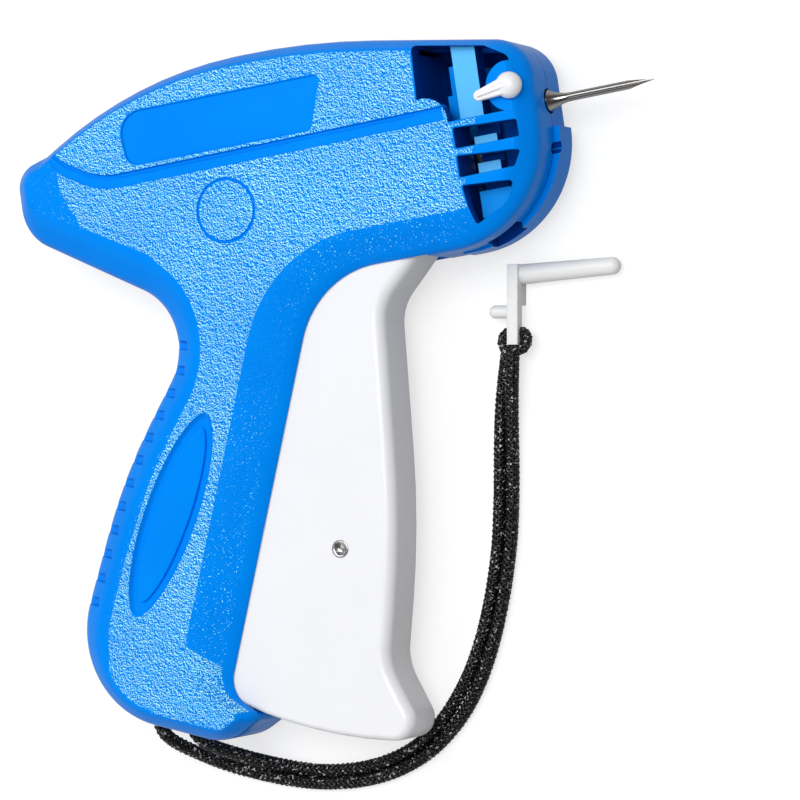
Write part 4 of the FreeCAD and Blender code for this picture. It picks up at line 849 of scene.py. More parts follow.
def grip_notches(flip=False):
    """Cutters for the notches in the band along the handle's back."""
    ring = [Vector(p[:2]) for p in casing_ring(0.0, 0.0, 0.0)]
    corners = [corner_of(j) for j in range(len(ring))]
    back = [p for p, corner in zip(ring, corners) if corner in (6, 7, 8)]
    back.reverse()
    travelled = [0.0]
    for a, b in zip(back[:-1], back[1:]):
        travelled.append(travelled[-1] + (b - a).length)

    def along(distance):
        for i in range(len(back) - 1):
            if travelled[i + 1] >= distance:
                share = (distance - travelled[i]) / (travelled[i + 1] - travelled[i])
                return back[i].lerp(back[i + 1], share)
        return back[-1]

    def beside(spot):
        return min((k * 0.1 for k in range(1200)), key=lambda run: (along(run) - spot).length)
    first, last = beside(NOTCH_FIRST), beside(NOTCH_LAST)
    across = Vector((-NOTCH_WAY.y, NOTCH_WAY.x))
    c = NOTCH_CORNER
    form = [(NOTCH_OUT, NOTCH_HALF), (NOTCH_L - c, NOTCH_HALF),
            (NOTCH_L - 0.3 * c, NOTCH_HALF - 0.3 * c), (NOTCH_L, NOTCH_HALF - c),
            (NOTCH_L, c - NOTCH_HALF), (NOTCH_L - 0.3 * c, 0.3 * c - NOTCH_HALF),
            (NOTCH_L - c, -NOTCH_HALF), (NOTCH_OUT, -NOTCH_HALF)]
    cutters = []
    for k in range(NOTCH_COUNT):
        place = along(first + (last - first) * k / (NOTCH_COUNT - 1))
        floor = [(place + NOTCH_WAY * x + across * y, NOTCH_FOOT + NOTCH_RISE * x) for x, y in form]
        low = [(p.x, p.y, side_z(z, flip)) for p, z in floor]
        high = [(p.x, p.y - NOTCH_LEAN * (y < 0), side_z(THICKNESS + 1.0, flip))
                for (p, _), (_, y) in zip(floor, form)]
        cutters.append(loft("notch", [low, high]))
    return cutters


GROOVE_PATH = ((-114.8, 12.5, 1.0), (-110.3, 6.0, 10.0), (-101.0, 0.9, 16.0), (-19.3, 1.2, 1.0))
GROOVE = (0.0, 0.9, 0.7)     # how far below the path, width, depth
BELT = (1.45, 2.0, 0.25)
BAND_FLARE, BAND_STEPS = 0.12, 10


def face_band(name, drop, width, depth, flip=False):
    """Cutter for a shallow strip that follows the line under the plate."""
    points, radii = plan(GROOVE_PATH)
    line = []
    for i, p in enumerate(points):
        if i in (0, len(points) - 1):
            line.append(p)
            continue
        back = (points[i - 1] - p).normalized()
        on = (points[i + 1] - p).normalized()
        reach = radii[i] / math.tan(back.angle(on) / 2)
        a, b = p + back * reach, p + on * reach
        for t in (k / BAND_STEPS for k in range(BAND_STEPS + 1)):
            line.append(a * (1 - t) ** 2 + p * 2 * t * (1 - t) + b * t ** 2)
    line = [p - Vector((0, drop)) for p in line]
    ways = [(b - a).normalized() for a, b in zip(line[:-1], line[1:])]
    ways = [ways[0]] + [(a + b).normalized() for a, b in zip(ways[:-1], ways[1:])] + [ways[-1]]
    rings = []
    for z, spread in ((THICKNESS - depth, 0.0), (THICKNESS - 0.1, 0.0), (THICKNESS, BAND_FLARE),
                      (THICKNESS + 1, BAND_FLARE)):
        half = width / 2 + spread
        left = [p + Vector((-w.y, w.x)) * half for p, w in zip(line, ways)]
        right = [p - Vector((-w.y, w.x)) * half for p, w in zip(line, ways)]
        rings.append([(p.x, p.y, side_z(z, flip)) for p in left + right[::-1]])
    return loft(name, rings)


LEAF_CENTRE, LEAF_ANGLE = Vector((-95.2, -73.6)), math.radians(59.7)
LEAF_L, LEAF_W, LEAF_D = 47.0, 12.2, 1.0
LEAF_POINT = 1.14            # 1 is an oval, and more draws its tips out
LEAF_TIP_INSET = 1.7         # an inset moves the tips in by this many times as much
LEAF_STEPS = 72


def leaf_ring(inset, z):
    """Pointed oval whose sides are arcs and whose tips are blunt."""
    half, rise = LEAF_L / 2 - inset * LEAF_TIP_INSET, LEAF_W / 2 - inset
    places = []
    for k in range(LEAF_STEPS):
        a = math.tau * (k + 0.5) / LEAF_STEPS
        x = half * math.cos(a)
        y = rise * math.copysign(abs(math.sin(a)) ** LEAF_POINT, math.sin(a))
        places.append((LEAF_CENTRE.x + x * math.cos(LEAF_ANGLE) - y * math.sin(LEAF_ANGLE),
                       LEAF_CENTRE.y + x * math.sin(LEAF_ANGLE) + y * math.cos(LEAF_ANGLE), z))
    return places


def leaf_cutter(flip=False):
    """Cutter for the leaf: a trough all round a raised pad."""
    def form(name, levels):
        return loft(name, [leaf_ring(inset, side_z(THICKNESS + z, flip)) for inset, z in levels])
    bowl = form("leaf", ((0.9, -LEAF_D), (0.45, -0.75 * LEAF_D), (0.12, -0.3 * LEAF_D), (-0.15, 0.0),
                         (-0.2, 1.0)))
    pad = form("leaf_pad", ((1.9, -2.0), (1.9, -0.5), (1.98, -0.36), (2.2, -0.28), (4.2, -0.24)))
    return carve(bowl, [pad])


WINDOWS = (
    ((-24.3, 15.6, 0.6), (-8.6, 12.6, 2.5), (-3.3, 9.4, 2.5), (-3.1, -1.8, 0.4), (-24.9, -1.8, 0.4)),
    ((-17.5, -3.3, 0.4), (-3.3, -4.0, 0.4), (-3.3, -7.6, 0.4), (-17.5, -7.6, 0.4)),
    ((-17.5, -9.2, 0.4), (-3.6, -10.2, 0.4), (-5.3, -13.5, 0.8), (-17.5, -13.7, 0.4)),
    ((-17.3, -15.5, 0.4), (-6.2, -16.1, 0.6), (-8.6, -20.4, 6.0), (-16.0, -23.9, 0.5)),
)
WINDOW_DEPTH = 3.0
WINDOW_FLOOR = 13.4          # the openings run through all the ribs down to here
SILL = ((-25.6, 17.0, 1.0), (-1.6, 14.5, 4.0), (-1.6, -20.0, 8.0), (-14.0, -26.0, 1.0),
        (-19.2, -24.0, 1.0), (-19.2, -3.0, 1.0), (-25.6, -3.0, 1.0))
HUMP = (-23.6, -1.2, 5.2)    # boss beside the first window: place and radius
GUARD_Z = (5.0, 30.0)        # the first window goes round the bosses at all of these heights
LOCK_X, LOCK_Y, LOCK_BOSS_R = -3.6, 3.1, 5.3
LOCK_HOLE_R, SHAFT_HOLE_R = 3.05, 1.65
CHANNEL_X, CHANNEL_Z = (-15.0, -9.9), (9.2, 15.0)
SPRING_SEAT = -26.2
SPRING_WALL = (SPRING_SEAT, SPRING_SEAT + 1.6, -2.2, 14.0)
WHEEL_PLACE = (-21.6, -10.1)
SHADE_BAFFLE = (-9.6, -3.2, -15.2, -2.4, 14.4, 15.2)   # sheet that hides the needle's hub behind the small windows; in the painted-shade blue it stands in for their dark
PLATE = ((-95.2, 14.1, 5.0), (-46.0, 13.6, 1.2), (-49.8, 2.4, 1.2), (-93.9, 2.6, 3.0))
PLATE_DEPTH, PLATE_FLARE = 0.5, 0.3
MEDAL, MEDAL_R, MEDAL_DEPTH = (-72.0, -11.0), 7.0, 0.35
SCREWS = ((-114.5, -0.5), (-68.0, 12.6), (-31.5, 10.6), (-104.5, -11.6), (-115.4, -100.8))
BRACKET_POSTS = ((-87.7, -48.7), (-94.0, -57.0))
SCREW_SEAT = ((0.0, 2.95), (1.0, 2.95), (1.25, 2.7), (3.4, 2.7), (3.41, 1.25), (14.0, 1.25))
RAIL_X, RAIL_Y = (-108.0, -30.0), (1.8, 3.3)
BOSS_R, PIVOT_BOSS_R, POST_R = 3.2, 3.4, 2.4
EDGE_EASE = 0.35
POLISH_DEPTH = 0.04
TAIL_X = -106.0              # the polished tail, back of here, has painted sparkles
# Parts of the flat face that the grain leaves out: the tail, the strip along the handle's back in
# two parts, and the frame round the windows.
POLISHED = (
    ((-125.0, 7.0, 0.3), (-111.6, 10.5, 0.3), (-111.4, 0.4, 3.0), (-107.0, -9.6, 4.0),
     (-108.0, -20.0, 0.3), (-125.0, -20.0, 0.3)),
    ((-107.6, -8.4, 0.3), (-91.7, -17.4, 6.0), (-84.3, -26.2, 6.0), (-82.9, -35.2, 6.0),
     (-86.1, -45.5, 8.0), (-88.6, -49.4, 0.3), (-95.0, -49.4, 0.3), (-92.0, -38.0, 0.3),
     (-97.0, -22.0, 0.3), (-112.0, -20.0, 0.3)),
    ((-86.0, -46.0, 0.3), (-99.0, -65.3, 20.0), (-107.7, -81.6, 20.0), (-114.1, -96.0, 20.0),
     (-115.6, -109.0, 0.3), (-124.0, -110.0, 0.3), (-118.0, -86.0, 1.0), (-93.0, -43.0, 0.3)),
    ((-27.0, 15.9, 0.3), (-27.0, 22.0, 0.3), (3.0, 22.0, 0.3), (3.0, -30.0, 0.3),
     (-16.5, -30.0, 0.3), (-16.5, -15.0, 0.3), (-13.5, -8.0, 1.0), (-12.0, -1.4, 0.3),
     (-12.0, 15.9, 0.3)),
)


def shared_cuts():
    """Cutters that both shells meet."""
    return [
        bar_x("nose_hole", 2.7, -3.5, 4.0, count=48),
        bar_x("nose_dot", 1.2, -3.5, 4.0, y=-9.9),
        block("channel_top", *CHANNEL_X, 12.2, 20.0, *CHANNEL_Z),
        block("channel_exit", -17.2, CHANNEL_X[1], -31.0, -20.5, *CHANNEL_Z),
        block("strap_slot", -113.2, -101.2, -124.0, -109.0, PARTING - 1.8, PARTING + 1.8),
        trigger_room(),
    ]


def inner_walls(low, high, boss_z, tongue_z):
    """Ribs and bosses that both shells have, between the given heights."""
    walls = []
    for side in (1.0, -1.0):
        edges = sorted(side * y for y in RAIL_Y)
        walls.append(block("rail", *RAIL_X, *edges, *sorted((tongue_z, high))))
    walls += [pillar("boss", *place, BOSS_R, *sorted((low, high)), 20) for place in SCREWS]
    walls.append(pillar("pivot_boss", *TRIGGER_PIVOT, PIVOT_BOSS_R, *sorted((boss_z, high)), 24))
    post_z = boss_z + math.copysign(0.5, high - low)
    walls += [pillar("post", *place, POST_R, *sorted((post_z, high)), 20) for place in BRACKET_POSTS]
    return walls


SHADED_X = -30.0            # the nose's rooms, forward of here, get the darker blue of painted shade


def shade_inside(shell):
    """Gives the nose's faces inside the wall, up to just under the flat face, the darker blue that
    paints their shade.
    """
    outlines = {}
    for face in shell.data.polygons:
        x, y, z = face.center / MM - ORIGIN
        height = max(z, THICKNESS - z)
        if height > THICKNESS - 1.2 or x < SHADED_X:
            continue
        level = round(max(height - RIM_Z, 0.0) / SHOULDER, 2)
        depth = 0.15 if height < RIM_Z - 3.0 else 1.0
        if (level, depth) not in outlines:
            outlines[level, depth] = [(p[0], p[1]) for p in casing_ring(level, depth, 0.0)]
        ring, inside = outlines[level, depth], False
        for (ax, ay), (bx, by) in zip(ring, ring[1:] + ring[:1]):
            if (ay > y) != (by > y) and x < ax + (bx - ax) * (y - ay) / (by - ay):
                inside = not inside
        if inside:
            face.material_index = ROOM_SHADE


def sparkle_tail(shell):
    """Gives the polished tail of the flat face its painted sparkles."""
    for face in shell.data.polygons:
        x, _, z = face.center / MM - ORIGIN
        if x < TAIL_X and abs(z - THICKNESS + POLISH_DEPTH) < 0.01 and face.normal.z > 0.9:
            face.material_index = PAINTED_SPARKLES


def make_right_shell():
    shell = casing_form("right_shell_moulding")
    carve(shell, [casing_hollow("hollow")])
    top = THICKNESS - WALL + 0.4
    walls = inner_walls(PARTING + SEAM_GAP, top, PARTING + ROOM_HALF, PARTING + 4.8)
    depth = THICKNESS - WINDOW_DEPTH
    core = block("spring_wall", *SPRING_WALL, PARTING + SEAM_GAP, top)
    walls += [block("window_wall", -19.1, -17.5, -22.6, -2.2, 14.3, top),
              pillar("lock_boss", LOCK_X, LOCK_Y, LOCK_BOSS_R, 15.2, THICKNESS, 64),
              prism("sill", SILL, depth, THICKNESS - 0.6)]
    carve(core, walls, "UNION")
    carve(core, [casing_hollow("core_room", wall=CORE_ROOT)], "INTERSECT")
    foot = block("spring_wall_foot", *SPRING_WALL, 8.0, PARTING + 1.0)
    carve(shell, [core, foot], "UNION")
    cuts = shared_cuts() + grip_notches()
    for index, corners in enumerate(WINDOWS):
        opening = prism("window", corners, WINDOW_FLOOR, THICKNESS + 1, EDGE_EASE, THICKNESS)
        if index == 0:
            guard = pillar("ring_guard", LOCK_X, LOCK_Y, LOCK_BOSS_R, *GUARD_Z, 64)
            hump = pillar("hump_guard", *HUMP, *GUARD_Z, 64)
            carve(opening, [guard, hump])
        cuts.append(opening)
    cuts += [prism("polish", zone, THICKNESS - POLISH_DEPTH, THICKNESS + 1) for zone in POLISHED]
    cuts.append(face_band("line", *GROOVE))
    cuts.append(face_band("belt", *BELT))
    cuts.append(prism("plate", PLATE, THICKNESS - PLATE_DEPTH, THICKNESS + 1, PLATE_FLARE, THICKNESS))
    ring = turned("medal", (0, 0, 1), (*MEDAL, THICKNESS - MEDAL_DEPTH),
                  ((0.0, MEDAL_R - 0.15), (0.35, MEDAL_R + 0.1), (1.5, MEDAL_R + 0.1)), 72)
    inner, eased_edge = MEDAL_R - 0.4, MEDAL_R - 0.62
    disc = turned("medal_disc", (0, 0, 1), (*MEDAL, THICKNESS - 1.0),
                  ((0.0, inner), (0.65, inner), (1.0, eased_edge), (3.0, eased_edge)), 72)
    cuts.append(carve(ring, [disc]))
    cuts.append(leaf_cutter())
    cuts.append(pillar("lock_hole", LOCK_X, LOCK_Y, LOCK_HOLE_R, THICKNESS - 0.5, THICKNESS + 1, 48))
    cuts.append(pillar("shaft_hole", LOCK_X, LOCK_Y, SHAFT_HOLE_R, 14.0, THICKNESS + 1, 32))
    cuts.append(block("rod_slot", SPRING_SEAT - 1, SPRING_SEAT + 3, -0.95, 0.95, 7.0, PARTING + 0.95))
    carve(shell, cuts)
    # A sheet in the painted-shade blue stands in for the dark behind the small windows.
    carve(shell, [block("shade_baffle", *SHADE_BAFFLE)], "UNION")
    shade_inside(shell)
    sparkle_tail(shell)
    return finish_piece(shell, "housing", BLUES, ("right_shell",))


CHIN_STEP = Vector((1.4, -0.3, 0.0))   # how far the chin under the nose stands out


def make_left_shell():
    shell = casing_form("left_shell_moulding", True)
    chin = casing_form("chin", True)
    for vertex in chin.data.vertices:
        vertex.co += CHIN_STEP * MM
    carve(chin, [block("chin_cut", -24.0, 6.0, -40.0, -5.4, -1.0, PARTING + 1)], "INTERSECT")
    carve(shell, [chin], "UNION")
    carve(shell, [casing_hollow("hollow", True)])
    floor = WALL - 0.4
    walls = inner_walls(PARTING - SEAM_GAP, floor, PARTING - ROOM_HALF, PARTING - 4.8)
    core = block("spring_wall", *SPRING_WALL, floor, 7.7)
    walls += [pillar("shaft_boss", LOCK_X, LOCK_Y, 3.2, floor, 8.6),
              pillar("wheel_boss", *WHEEL_PLACE, 2.4, floor, 8.5)]
    carve(core, walls, "UNION")
    carve(core, [casing_hollow("core_room", True, CORE_ROOT)], "INTERSECT")
    carve(shell, [core], "UNION")
    cuts = shared_cuts() + grip_notches(True)
    cuts.append(face_band("line", *GROOVE, True))
    cuts.append(leaf_cutter(True))
    cuts.append(pillar("shaft_hole", LOCK_X, LOCK_Y, SHAFT_HOLE_R, 7.6, PARTING - 1, 32))
    cuts += [turned("screw_hole", (0, 0, 1), (x, y, -1.0), SCREW_SEAT, 24) for x, y in SCREWS]
    carve(shell, cuts)
    shade_inside(shell)
    return finish_piece(shell, "housing", BLUES, ("left_shell",))


make_right_shell()
make_left_shell()

# ============================== feed guide ========================================

GUIDE_X, PAD_X = (-17.2, -11.9), (-15.2, -10.1)
GUIDE_FOOT, GUIDE_TOP, PAD_TOP = 15.0, 19.6, 18.5
LAST_PAD_Y = -16.0           # the widest pad, below here, is nearly the shell's own blue
GUIDE_BLUES = (blue_insert, blue_room_shade, blue_smooth, blue_pad)
IN_SHADE, STEP_BLUE, LAST_PAD_BLUE = 1, 2, 3   # their numbers in GUIDE_BLUES
# What stands beside the high strip: name, extent along x, extent along y, top.
GUIDE_PARTS = (
    ("step", (-19.6, -16.8), (-2.3, 10.6), 16.2),
    ("low_step", (-20.9, -17.0), (-2.3, 4.6), 15.7),
    ("foot", PAD_X, (-21.8, -1.0), 15.8),
    ("pad_1", PAD_X, (-8.4, -5.3), PAD_TOP),
    ("pad_2", PAD_X, (-14.2, -10.9), PAD_TOP),
    ("pad_3", (PAD_X[0] - 0.5, -8.6), (-22.4, -16.8), PAD_TOP),
)


def make_guide():
    """Guide over the fastener channel: a high strip, two steps beside it and three lower pads."""
    guide = block("feed_guide_moulding", *GUIDE_X, -2.3, 14.4, GUIDE_FOOT, GUIDE_TOP)
    carve(guide, [block(name, *x, *y, GUIDE_FOOT, top) for name, x, y, top in GUIDE_PARTS], "UNION")
    for face in guide.data.polygons:
        x, y, z = face.center / MM - ORIGIN
        # Side faces and the low foot get painted shade.
        if abs(face.normal.z) < 0.5 or (z < GUIDE_FOOT + 1.0 and x > GUIDE_X[0]):
            face.material_index = IN_SHADE
        elif y < LAST_PAD_Y:
            face.material_index = LAST_PAD_BLUE
        elif x < GUIDE_X[0]:
            face.material_index = STEP_BLUE
    return finish_piece(guide, "housing", GUIDE_BLUES, ("feed_guide",), sharp=30.0)


make_guide()

# ============================== trigger ===========================================

TRIGGER_Z = (5.0, 19.0)
TRIGGER_WALL = 2.0
# Corner, radius, rounding of the edge along the side that follows.
TRIGGER_OUTLINE = (
    (-29.4, -25.1, 0.3, 2.6), (-41.6, -36.65, 10.0, 2.6), (-45.0, -83.5, 200.0, 2.6),
    (-51.8, -111.6, 12.0, 2.6), (-45.2, -129.1, 4.5, 1.6), (-71.1, -124.9, 100.0, 1.2),
    (-91.4, -113.4, 1.0, 0.3), (-58.0, -25.2, 8.0, 0.3), (-36.0, -13.3, 0.3, 0.3),
)
EDGE_LEVELS = (0.0, 0.06, 0.2, 0.45, 0.8, 1.3, 1.9, 2.6)
# The room inside the trigger: how far each side moves in (the last three lie open), and its radii.
TRIGGER_ROOM_INSETS = [TRIGGER_WALL] * 6 + [-6.0] * 3
TRIGGER_ROOM_RADII = (0.4, 12.0, 198.0, 14.0, 2.5, 98.0, 1.0, 4.0, 0.4)
HUB_R, HUB_ROOM_R = 7.0, 8.0
PIVOT_HOLE_R, PIN_HOLE_R, RIVET_SEAT_R, RIVET_SEAT_DEPTH = 1.55, 1.52, 1.92, 0.7
PIN_PLACE = (-58.7, -86.1)


def edge_inset(radius, depth):
    """How far an edge of a radius draws in at a depth below the face."""
    if depth >= radius:
        return 0.0
    return radius - math.sqrt(radius ** 2 - (radius - depth) ** 2)


def make_trigger():
    points, radii = plan(TRIGGER_OUTLINE)
    steps = arc_steps(points)
    rings = []
    depths = [(TRIGGER_Z[0] + d, d) for d in EDGE_LEVELS]
    depths += [(TRIGGER_Z[1] - d, d) for d in reversed(EDGE_LEVELS)]
    for z, depth in depths:
        insets = [edge_inset(corner[3], depth) for corner in TRIGGER_OUTLINE]
        moved = inset_corners(points, insets)
        sizes = []
        for i, r in enumerate(radii):
            lost = (insets[i - 1] + insets[i]) / 2
            sizes.append(r + lost if is_hollow(points, i) else max(r - lost, 0.2))
        rings.append([(p.x, p.y, z) for p in rounded(moved, sizes, steps)])
    body = loft("trigger_moulding", rings)
    carve(body, [pillar("hub", *TRIGGER_PIVOT, HUB_R, *TRIGGER_Z, 48)], "UNION")
    ring = rounded(inset_corners(points, TRIGGER_ROOM_INSETS), TRIGGER_ROOM_RADII, steps)
    z0, z1 = TRIGGER_Z[0] + TRIGGER_WALL, TRIGGER_Z[1] - TRIGGER_WALL
    hollow = loft("trigger_hollow", [[(p.x, p.y, z) for p in ring] for z in (z0, z1)])
    around = pillar("hub_room", *TRIGGER_PIVOT, HUB_ROOM_R, z0, z1, 48)
    carve(around, [block("hub_keep", -42.0, -26.0, -30.0, TRIGGER_PIVOT[1] - 3.6, 4.0, 20.0)])
    cuts = [hollow, around, pillar("pivot_hole", *TRIGGER_PIVOT, PIVOT_HOLE_R, 0.0, THICKNESS, 24),
            pillar("pin_hole", *PIN_PLACE, PIN_HOLE_R, 0.0, THICKNESS, 24)]
    for z in (TRIGGER_Z[0] - 1, TRIGGER_Z[1] - RIVET_SEAT_DEPTH):
        cuts.append(pillar("rivet_seat", *PIN_PLACE, RIVET_SEAT_R, z, z + (1 + RIVET_SEAT_DEPTH), 48))
    carve(body, cuts)
    return finish_piece(body, "trigger", (white_shell,), ("trigger",), sharp=40.0)


# Half of the rivet from its shank to the middle of its head: place along it, radius.
RIVET_HEAD = (
    (-0.7, 1.5), (-0.7, 1.9), (-0.22, 1.9), (-0.08, 1.84), (0.0, 1.68), (-0.02, 1.5), (-0.1, 1.32),
    (-0.2, 1.2), (-0.26, 1.08), (-0.42, 0.86), (-0.56, 0.56), (-0.62, 0.2),
)


def make_pin():
    """Trigger's steel rivet, sunk flush, with a rolled rim round a polished cup at both ends."""
    width = TRIGGER_Z[1] - TRIGGER_Z[0]
    foot = [(-width - along, r) for along, r in RIVET_HEAD[:0:-1]]
    profile = foot + [(-width - RIVET_HEAD[0][0], RIVET_HEAD[0][1])] + list(RIVET_HEAD)
    pin = turned("trigger_rivet", (0, 0, 1), (*PIN_PLACE, TRIGGER_Z[1]), profile, 48)
    return finish_piece(pin, "trigger", (bright_steel,), ("trigger_pin",), sharp=60.0)


make_trigger()
make_pin()

# ============================== needle and its lock ===============================

NEEDLE_R, NEEDLE_BORE_R, NEEDLE_SLOT = 0.95, 0.725, 0.6
NEEDLE_END, NEEDLE_COLLAR_X, NEEDLE_ROOT_X = -9.0, -2.25, 0.3
NEEDLE_ROOT_R, NEEDLE_CONE, CONE_STEPS = 2.35, 4.6, 14
NEEDLE_POINT, NEEDLE_SIDES = 8.0, 6.3
NEEDLE_ROOF = 0.26           # steel left over the scoop at the tip


def make_needle():
    """Flared root and tube, slotted and ground hollow on the far side, with a slim point."""
    profile = [(NEEDLE_END, NEEDLE_R), (NEEDLE_COLLAR_X, NEEDLE_R), (NEEDLE_COLLAR_X, NEEDLE_ROOT_R),
               (NEEDLE_ROOT_X, NEEDLE_ROOT_R)]
    for k in range(1, CONE_STEPS + 1):
        t = k / CONE_STEPS
        r = NEEDLE_R + (NEEDLE_ROOT_R - NEEDLE_R) * (1 - t) ** 2
        profile.append((NEEDLE_ROOT_X + NEEDLE_CONE * t, r))
    profile.append((NEEDLE_TIP, NEEDLE_R))
    needle = turned("needle_tube", (1, 0, 0), (0, 0, PARTING), profile, 64)
    grind_r = (NEEDLE_POINT ** 2 + 4 * NEEDLE_R ** 2) / (4 * NEEDLE_R)
    ceiling = PARTING + NEEDLE_R - NEEDLE_ROOF
    half = NEEDLE_SLOT / 2
    cuts = [bar_x("bore", NEEDLE_BORE_R, NEEDLE_END - 1, NEEDLE_TIP + 1, count=40),
            block("slot", NEEDLE_END - 1, NEEDLE_TIP + 1, -half, half, PARTING - 4.7, PARTING),
            turned("scoop", (0, 1, 0), (NEEDLE_TIP, -3.0, ceiling - grind_r),
                   ((0.0, grind_r), (6.0, grind_r)), 256)]
    start, beyond = NEEDLE_TIP - NEEDLE_SIDES, NEEDLE_TIP + 0.4
    for side in (1.0, -1.0):
        corners = [(beyond, 0.0), (start, side * NEEDLE_R), (start, side * 3.0), (beyond, side * 3.0)]
        rings = [[(x, y, PARTING + z) for x, y in corners] for z in (-3.0, 3.0)]
        cuts.append(loft("side_grind", rings))
    carve(needle, cuts)
    return finish_piece(needle, "housing", (needle_steel,), ("needle",), sharp=30.0)


LOCK_TOP = THICKNESS + 0.3
LOCK_ARM, LOCK_ARM_ANGLE = 6.45, math.radians(190.0)
LOCK_SHAFT_R, LOCK_FLAT = 1.6, 0.4
FINGER_R, RIDGE_R, FINGER_STEPS = (1.9, 1.15), (0.5, 0.4), 16
FINGER_Z = LOCK_TOP + 0.45
# Finger and its ridge: height over FINGER_Z, how much less than the full radius there.
FINGER_LEVELS = ((0.0, 0.3), (0.15, 0.08), (0.4, 0.0), (1.0, 0.0), (1.3, 0.1), (1.45, 0.3))
RIDGE_LEVELS = ((1.2, 0.0), (1.85, 0.0), (2.0, 0.14))
# Hub from its shaft over the dome: height over LOCK_TOP, radius.
LOCK_DOME = (
    (-9.3, LOCK_SHAFT_R), (-0.35, LOCK_SHAFT_R), (-0.3, 2.78), (0.1, 2.8), (0.6, 2.74), (1.1, 2.55),
    (1.55, 2.25), (1.95, 1.8), (2.2, 1.3), (2.34, 0.7), (2.38, 0.15),
)


def make_knob():
    """Quarter-turn lock: domed hub, flat-sided shaft and a ridged finger."""
    hub = turned("lock_knob_moulding", (0, 0, 1), (LOCK_X, LOCK_Y, LOCK_TOP), LOCK_DOME, 48)
    end = (LOCK_X + LOCK_ARM * math.cos(LOCK_ARM_ANGLE), LOCK_Y + LOCK_ARM * math.sin(LOCK_ARM_ANGLE))
    across = Vector((-math.sin(LOCK_ARM_ANGLE), math.cos(LOCK_ARM_ANGLE)))

    def finger(name, r0, r1, levels):
        rings = []
        for rise, less in levels:
            z = FINGER_Z + rise
            ring = []
            for k in range(FINGER_STEPS + 1):
                a = LOCK_ARM_ANGLE + math.pi * (k / FINGER_STEPS - 0.5)
                ring.append((end[0] + (r1 - less) * math.cos(a), end[1] + (r1 - less) * math.sin(a), z))
            for sign in (1.0, -1.0):
                ring.append((LOCK_X + across.x * sign * (r0 - less),
                             LOCK_Y + across.y * sign * (r0 - less), z))
            rings.append(ring)
        return loft(name, rings)
    arm = finger("finger", *FINGER_R, FINGER_LEVELS)
    ridge = finger("ridge", *RIDGE_R, RIDGE_LEVELS)
    carve(hub, [arm, ridge], "UNION")
    shaft = turned("shaft", (0, 0, 1), (LOCK_X, LOCK_Y, 8.0),
                   ((0.0, LOCK_SHAFT_R), (7.4, LOCK_SHAFT_R)), 32)
    carve(shaft, [block("flat", LOCK_X + LOCK_FLAT, LOCK_X + 3, LOCK_Y - 3, LOCK_Y + 3, 7.0, 15.0)])
    carve(hub, [shaft], "UNION")
    return finish_piece(hub, "lock_knob", (white_shell,), ("needle_lock_knob",),
                        sharp=42.0)


make_needle()
make_knob()

# ============================== clearing tool =====================================

TOOL_HALF, TOOL_H, TOOL_T = 1.2, 17.1, 5.0
TONGUE_H, TONGUE_T = 9.4, 2.6
TOOL_BLOCK_Y = 8.4                           # the stem is full thick from here up
ARM_R, ARM_TIP_R, ARM_L, ARM_RISE = 2.2, 1.85, 23.4, math.radians(4.3)
PEG_R, PEG_REACH, PEG_Y = 1.4, 5.7, 7.0


def round_end(r, length):
    """Rounded end of a rod's profile, up to its length."""
    angles = [math.radians(d) for d in range(10, 90, 10)]
    return [(length - r + r * math.sin(a), r * math.cos(a)) for a in angles]


def rod_profile(r0, r1, length, tip_r):
    """Profile of a rod that tapers from one radius to the other and ends round."""
    return [(0.0, r0), (length - r1, r1)] + round_end(r1, length) + [(length, tip_r)]


def make_tool():
    """Stem, tapered arm and peg in one white moulding."""
    w, h, t = TOOL_HALF, TOOL_H, TOOL_T

    def box_on_tool(name, x0, x1, y0, y1, z0, z1):
        corners = ((x0, y0), (x0, y1), (x1, y1), (x1, y0))
        return loft(name, [[on_tool(x, y, z) for x, y in corners] for z in (z0, z1)])
    tool = box_on_tool("clearing_tool_moulding", -w, w, TOOL_BLOCK_Y, h, 0.0, t)
    tongue = box_on_tool("tongue", -w, w, 0.0, TONGUE_H, t - TONGUE_T, t)
    c, s = math.cos(TOOL_TILT), math.sin(TOOL_TILT)

    def direction(x, y, z):
        return (x * c - y * s, x * s + y * c, z)
    arm_way = direction(math.cos(ARM_RISE), math.sin(ARM_RISE), (ARM_TIP_R - ARM_R) / ARM_L)
    arm = turned("arm", arm_way, on_tool(0.0, h - ARM_R - 0.02, ARM_R),
                 rod_profile(ARM_R, ARM_TIP_R, ARM_L, 0.12), 40)
    peg = turned("peg", direction(-1, 0, 0), on_tool(0.0, PEG_Y, t - PEG_R),
                 rod_profile(PEG_R, PEG_R, PEG_REACH, 0.1), 32)
    carve(tool, [tongue, arm, peg], "UNION")
    return finish_piece(tool, "housing", (tool_white,), ("clearing_tool",), sharp=40.0,
                        bevel=0.25)


tool = make_tool()
tuple(outer_line[0])
round(path_length(outer_line), 4)
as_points(outer_line)
tuple(inner_line[0])
round(path_length(inner_line), 4)
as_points(inner_line)

# ============================== mechanism =========================================

NODE_FINISH = {
    "needle_hub": white_shell, "knife_blade": bright_steel,
    "feed_wheel": bright_steel, "feed_wheel_axle": bright_steel, "feed_pawl": natural_plastic,
    "detent_spring": spring_steel, "trigger_pivot_pin": bright_steel, "drive_lever": natural_plastic,
    "lever_pivot_pin": bright_steel, "lever_bracket": bright_steel, "bracket_pins": bright_steel,
    "ejector_slide": natural_plastic, "slide_pin": bright_steel, "ejector_rod": bright_steel,
    "shell_screws": bright_steel,
}
for name, material in NODE_FINISH.items():
    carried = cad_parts[name]
    for place in carried.material_slots:
        place.material = material

SPRING_X = (-74.5, SPRING_SEAT - 0.5)
SPRING_R, SPRING_WIRE_R, SPRING_TURNS = 2.4, 0.4, 13.0


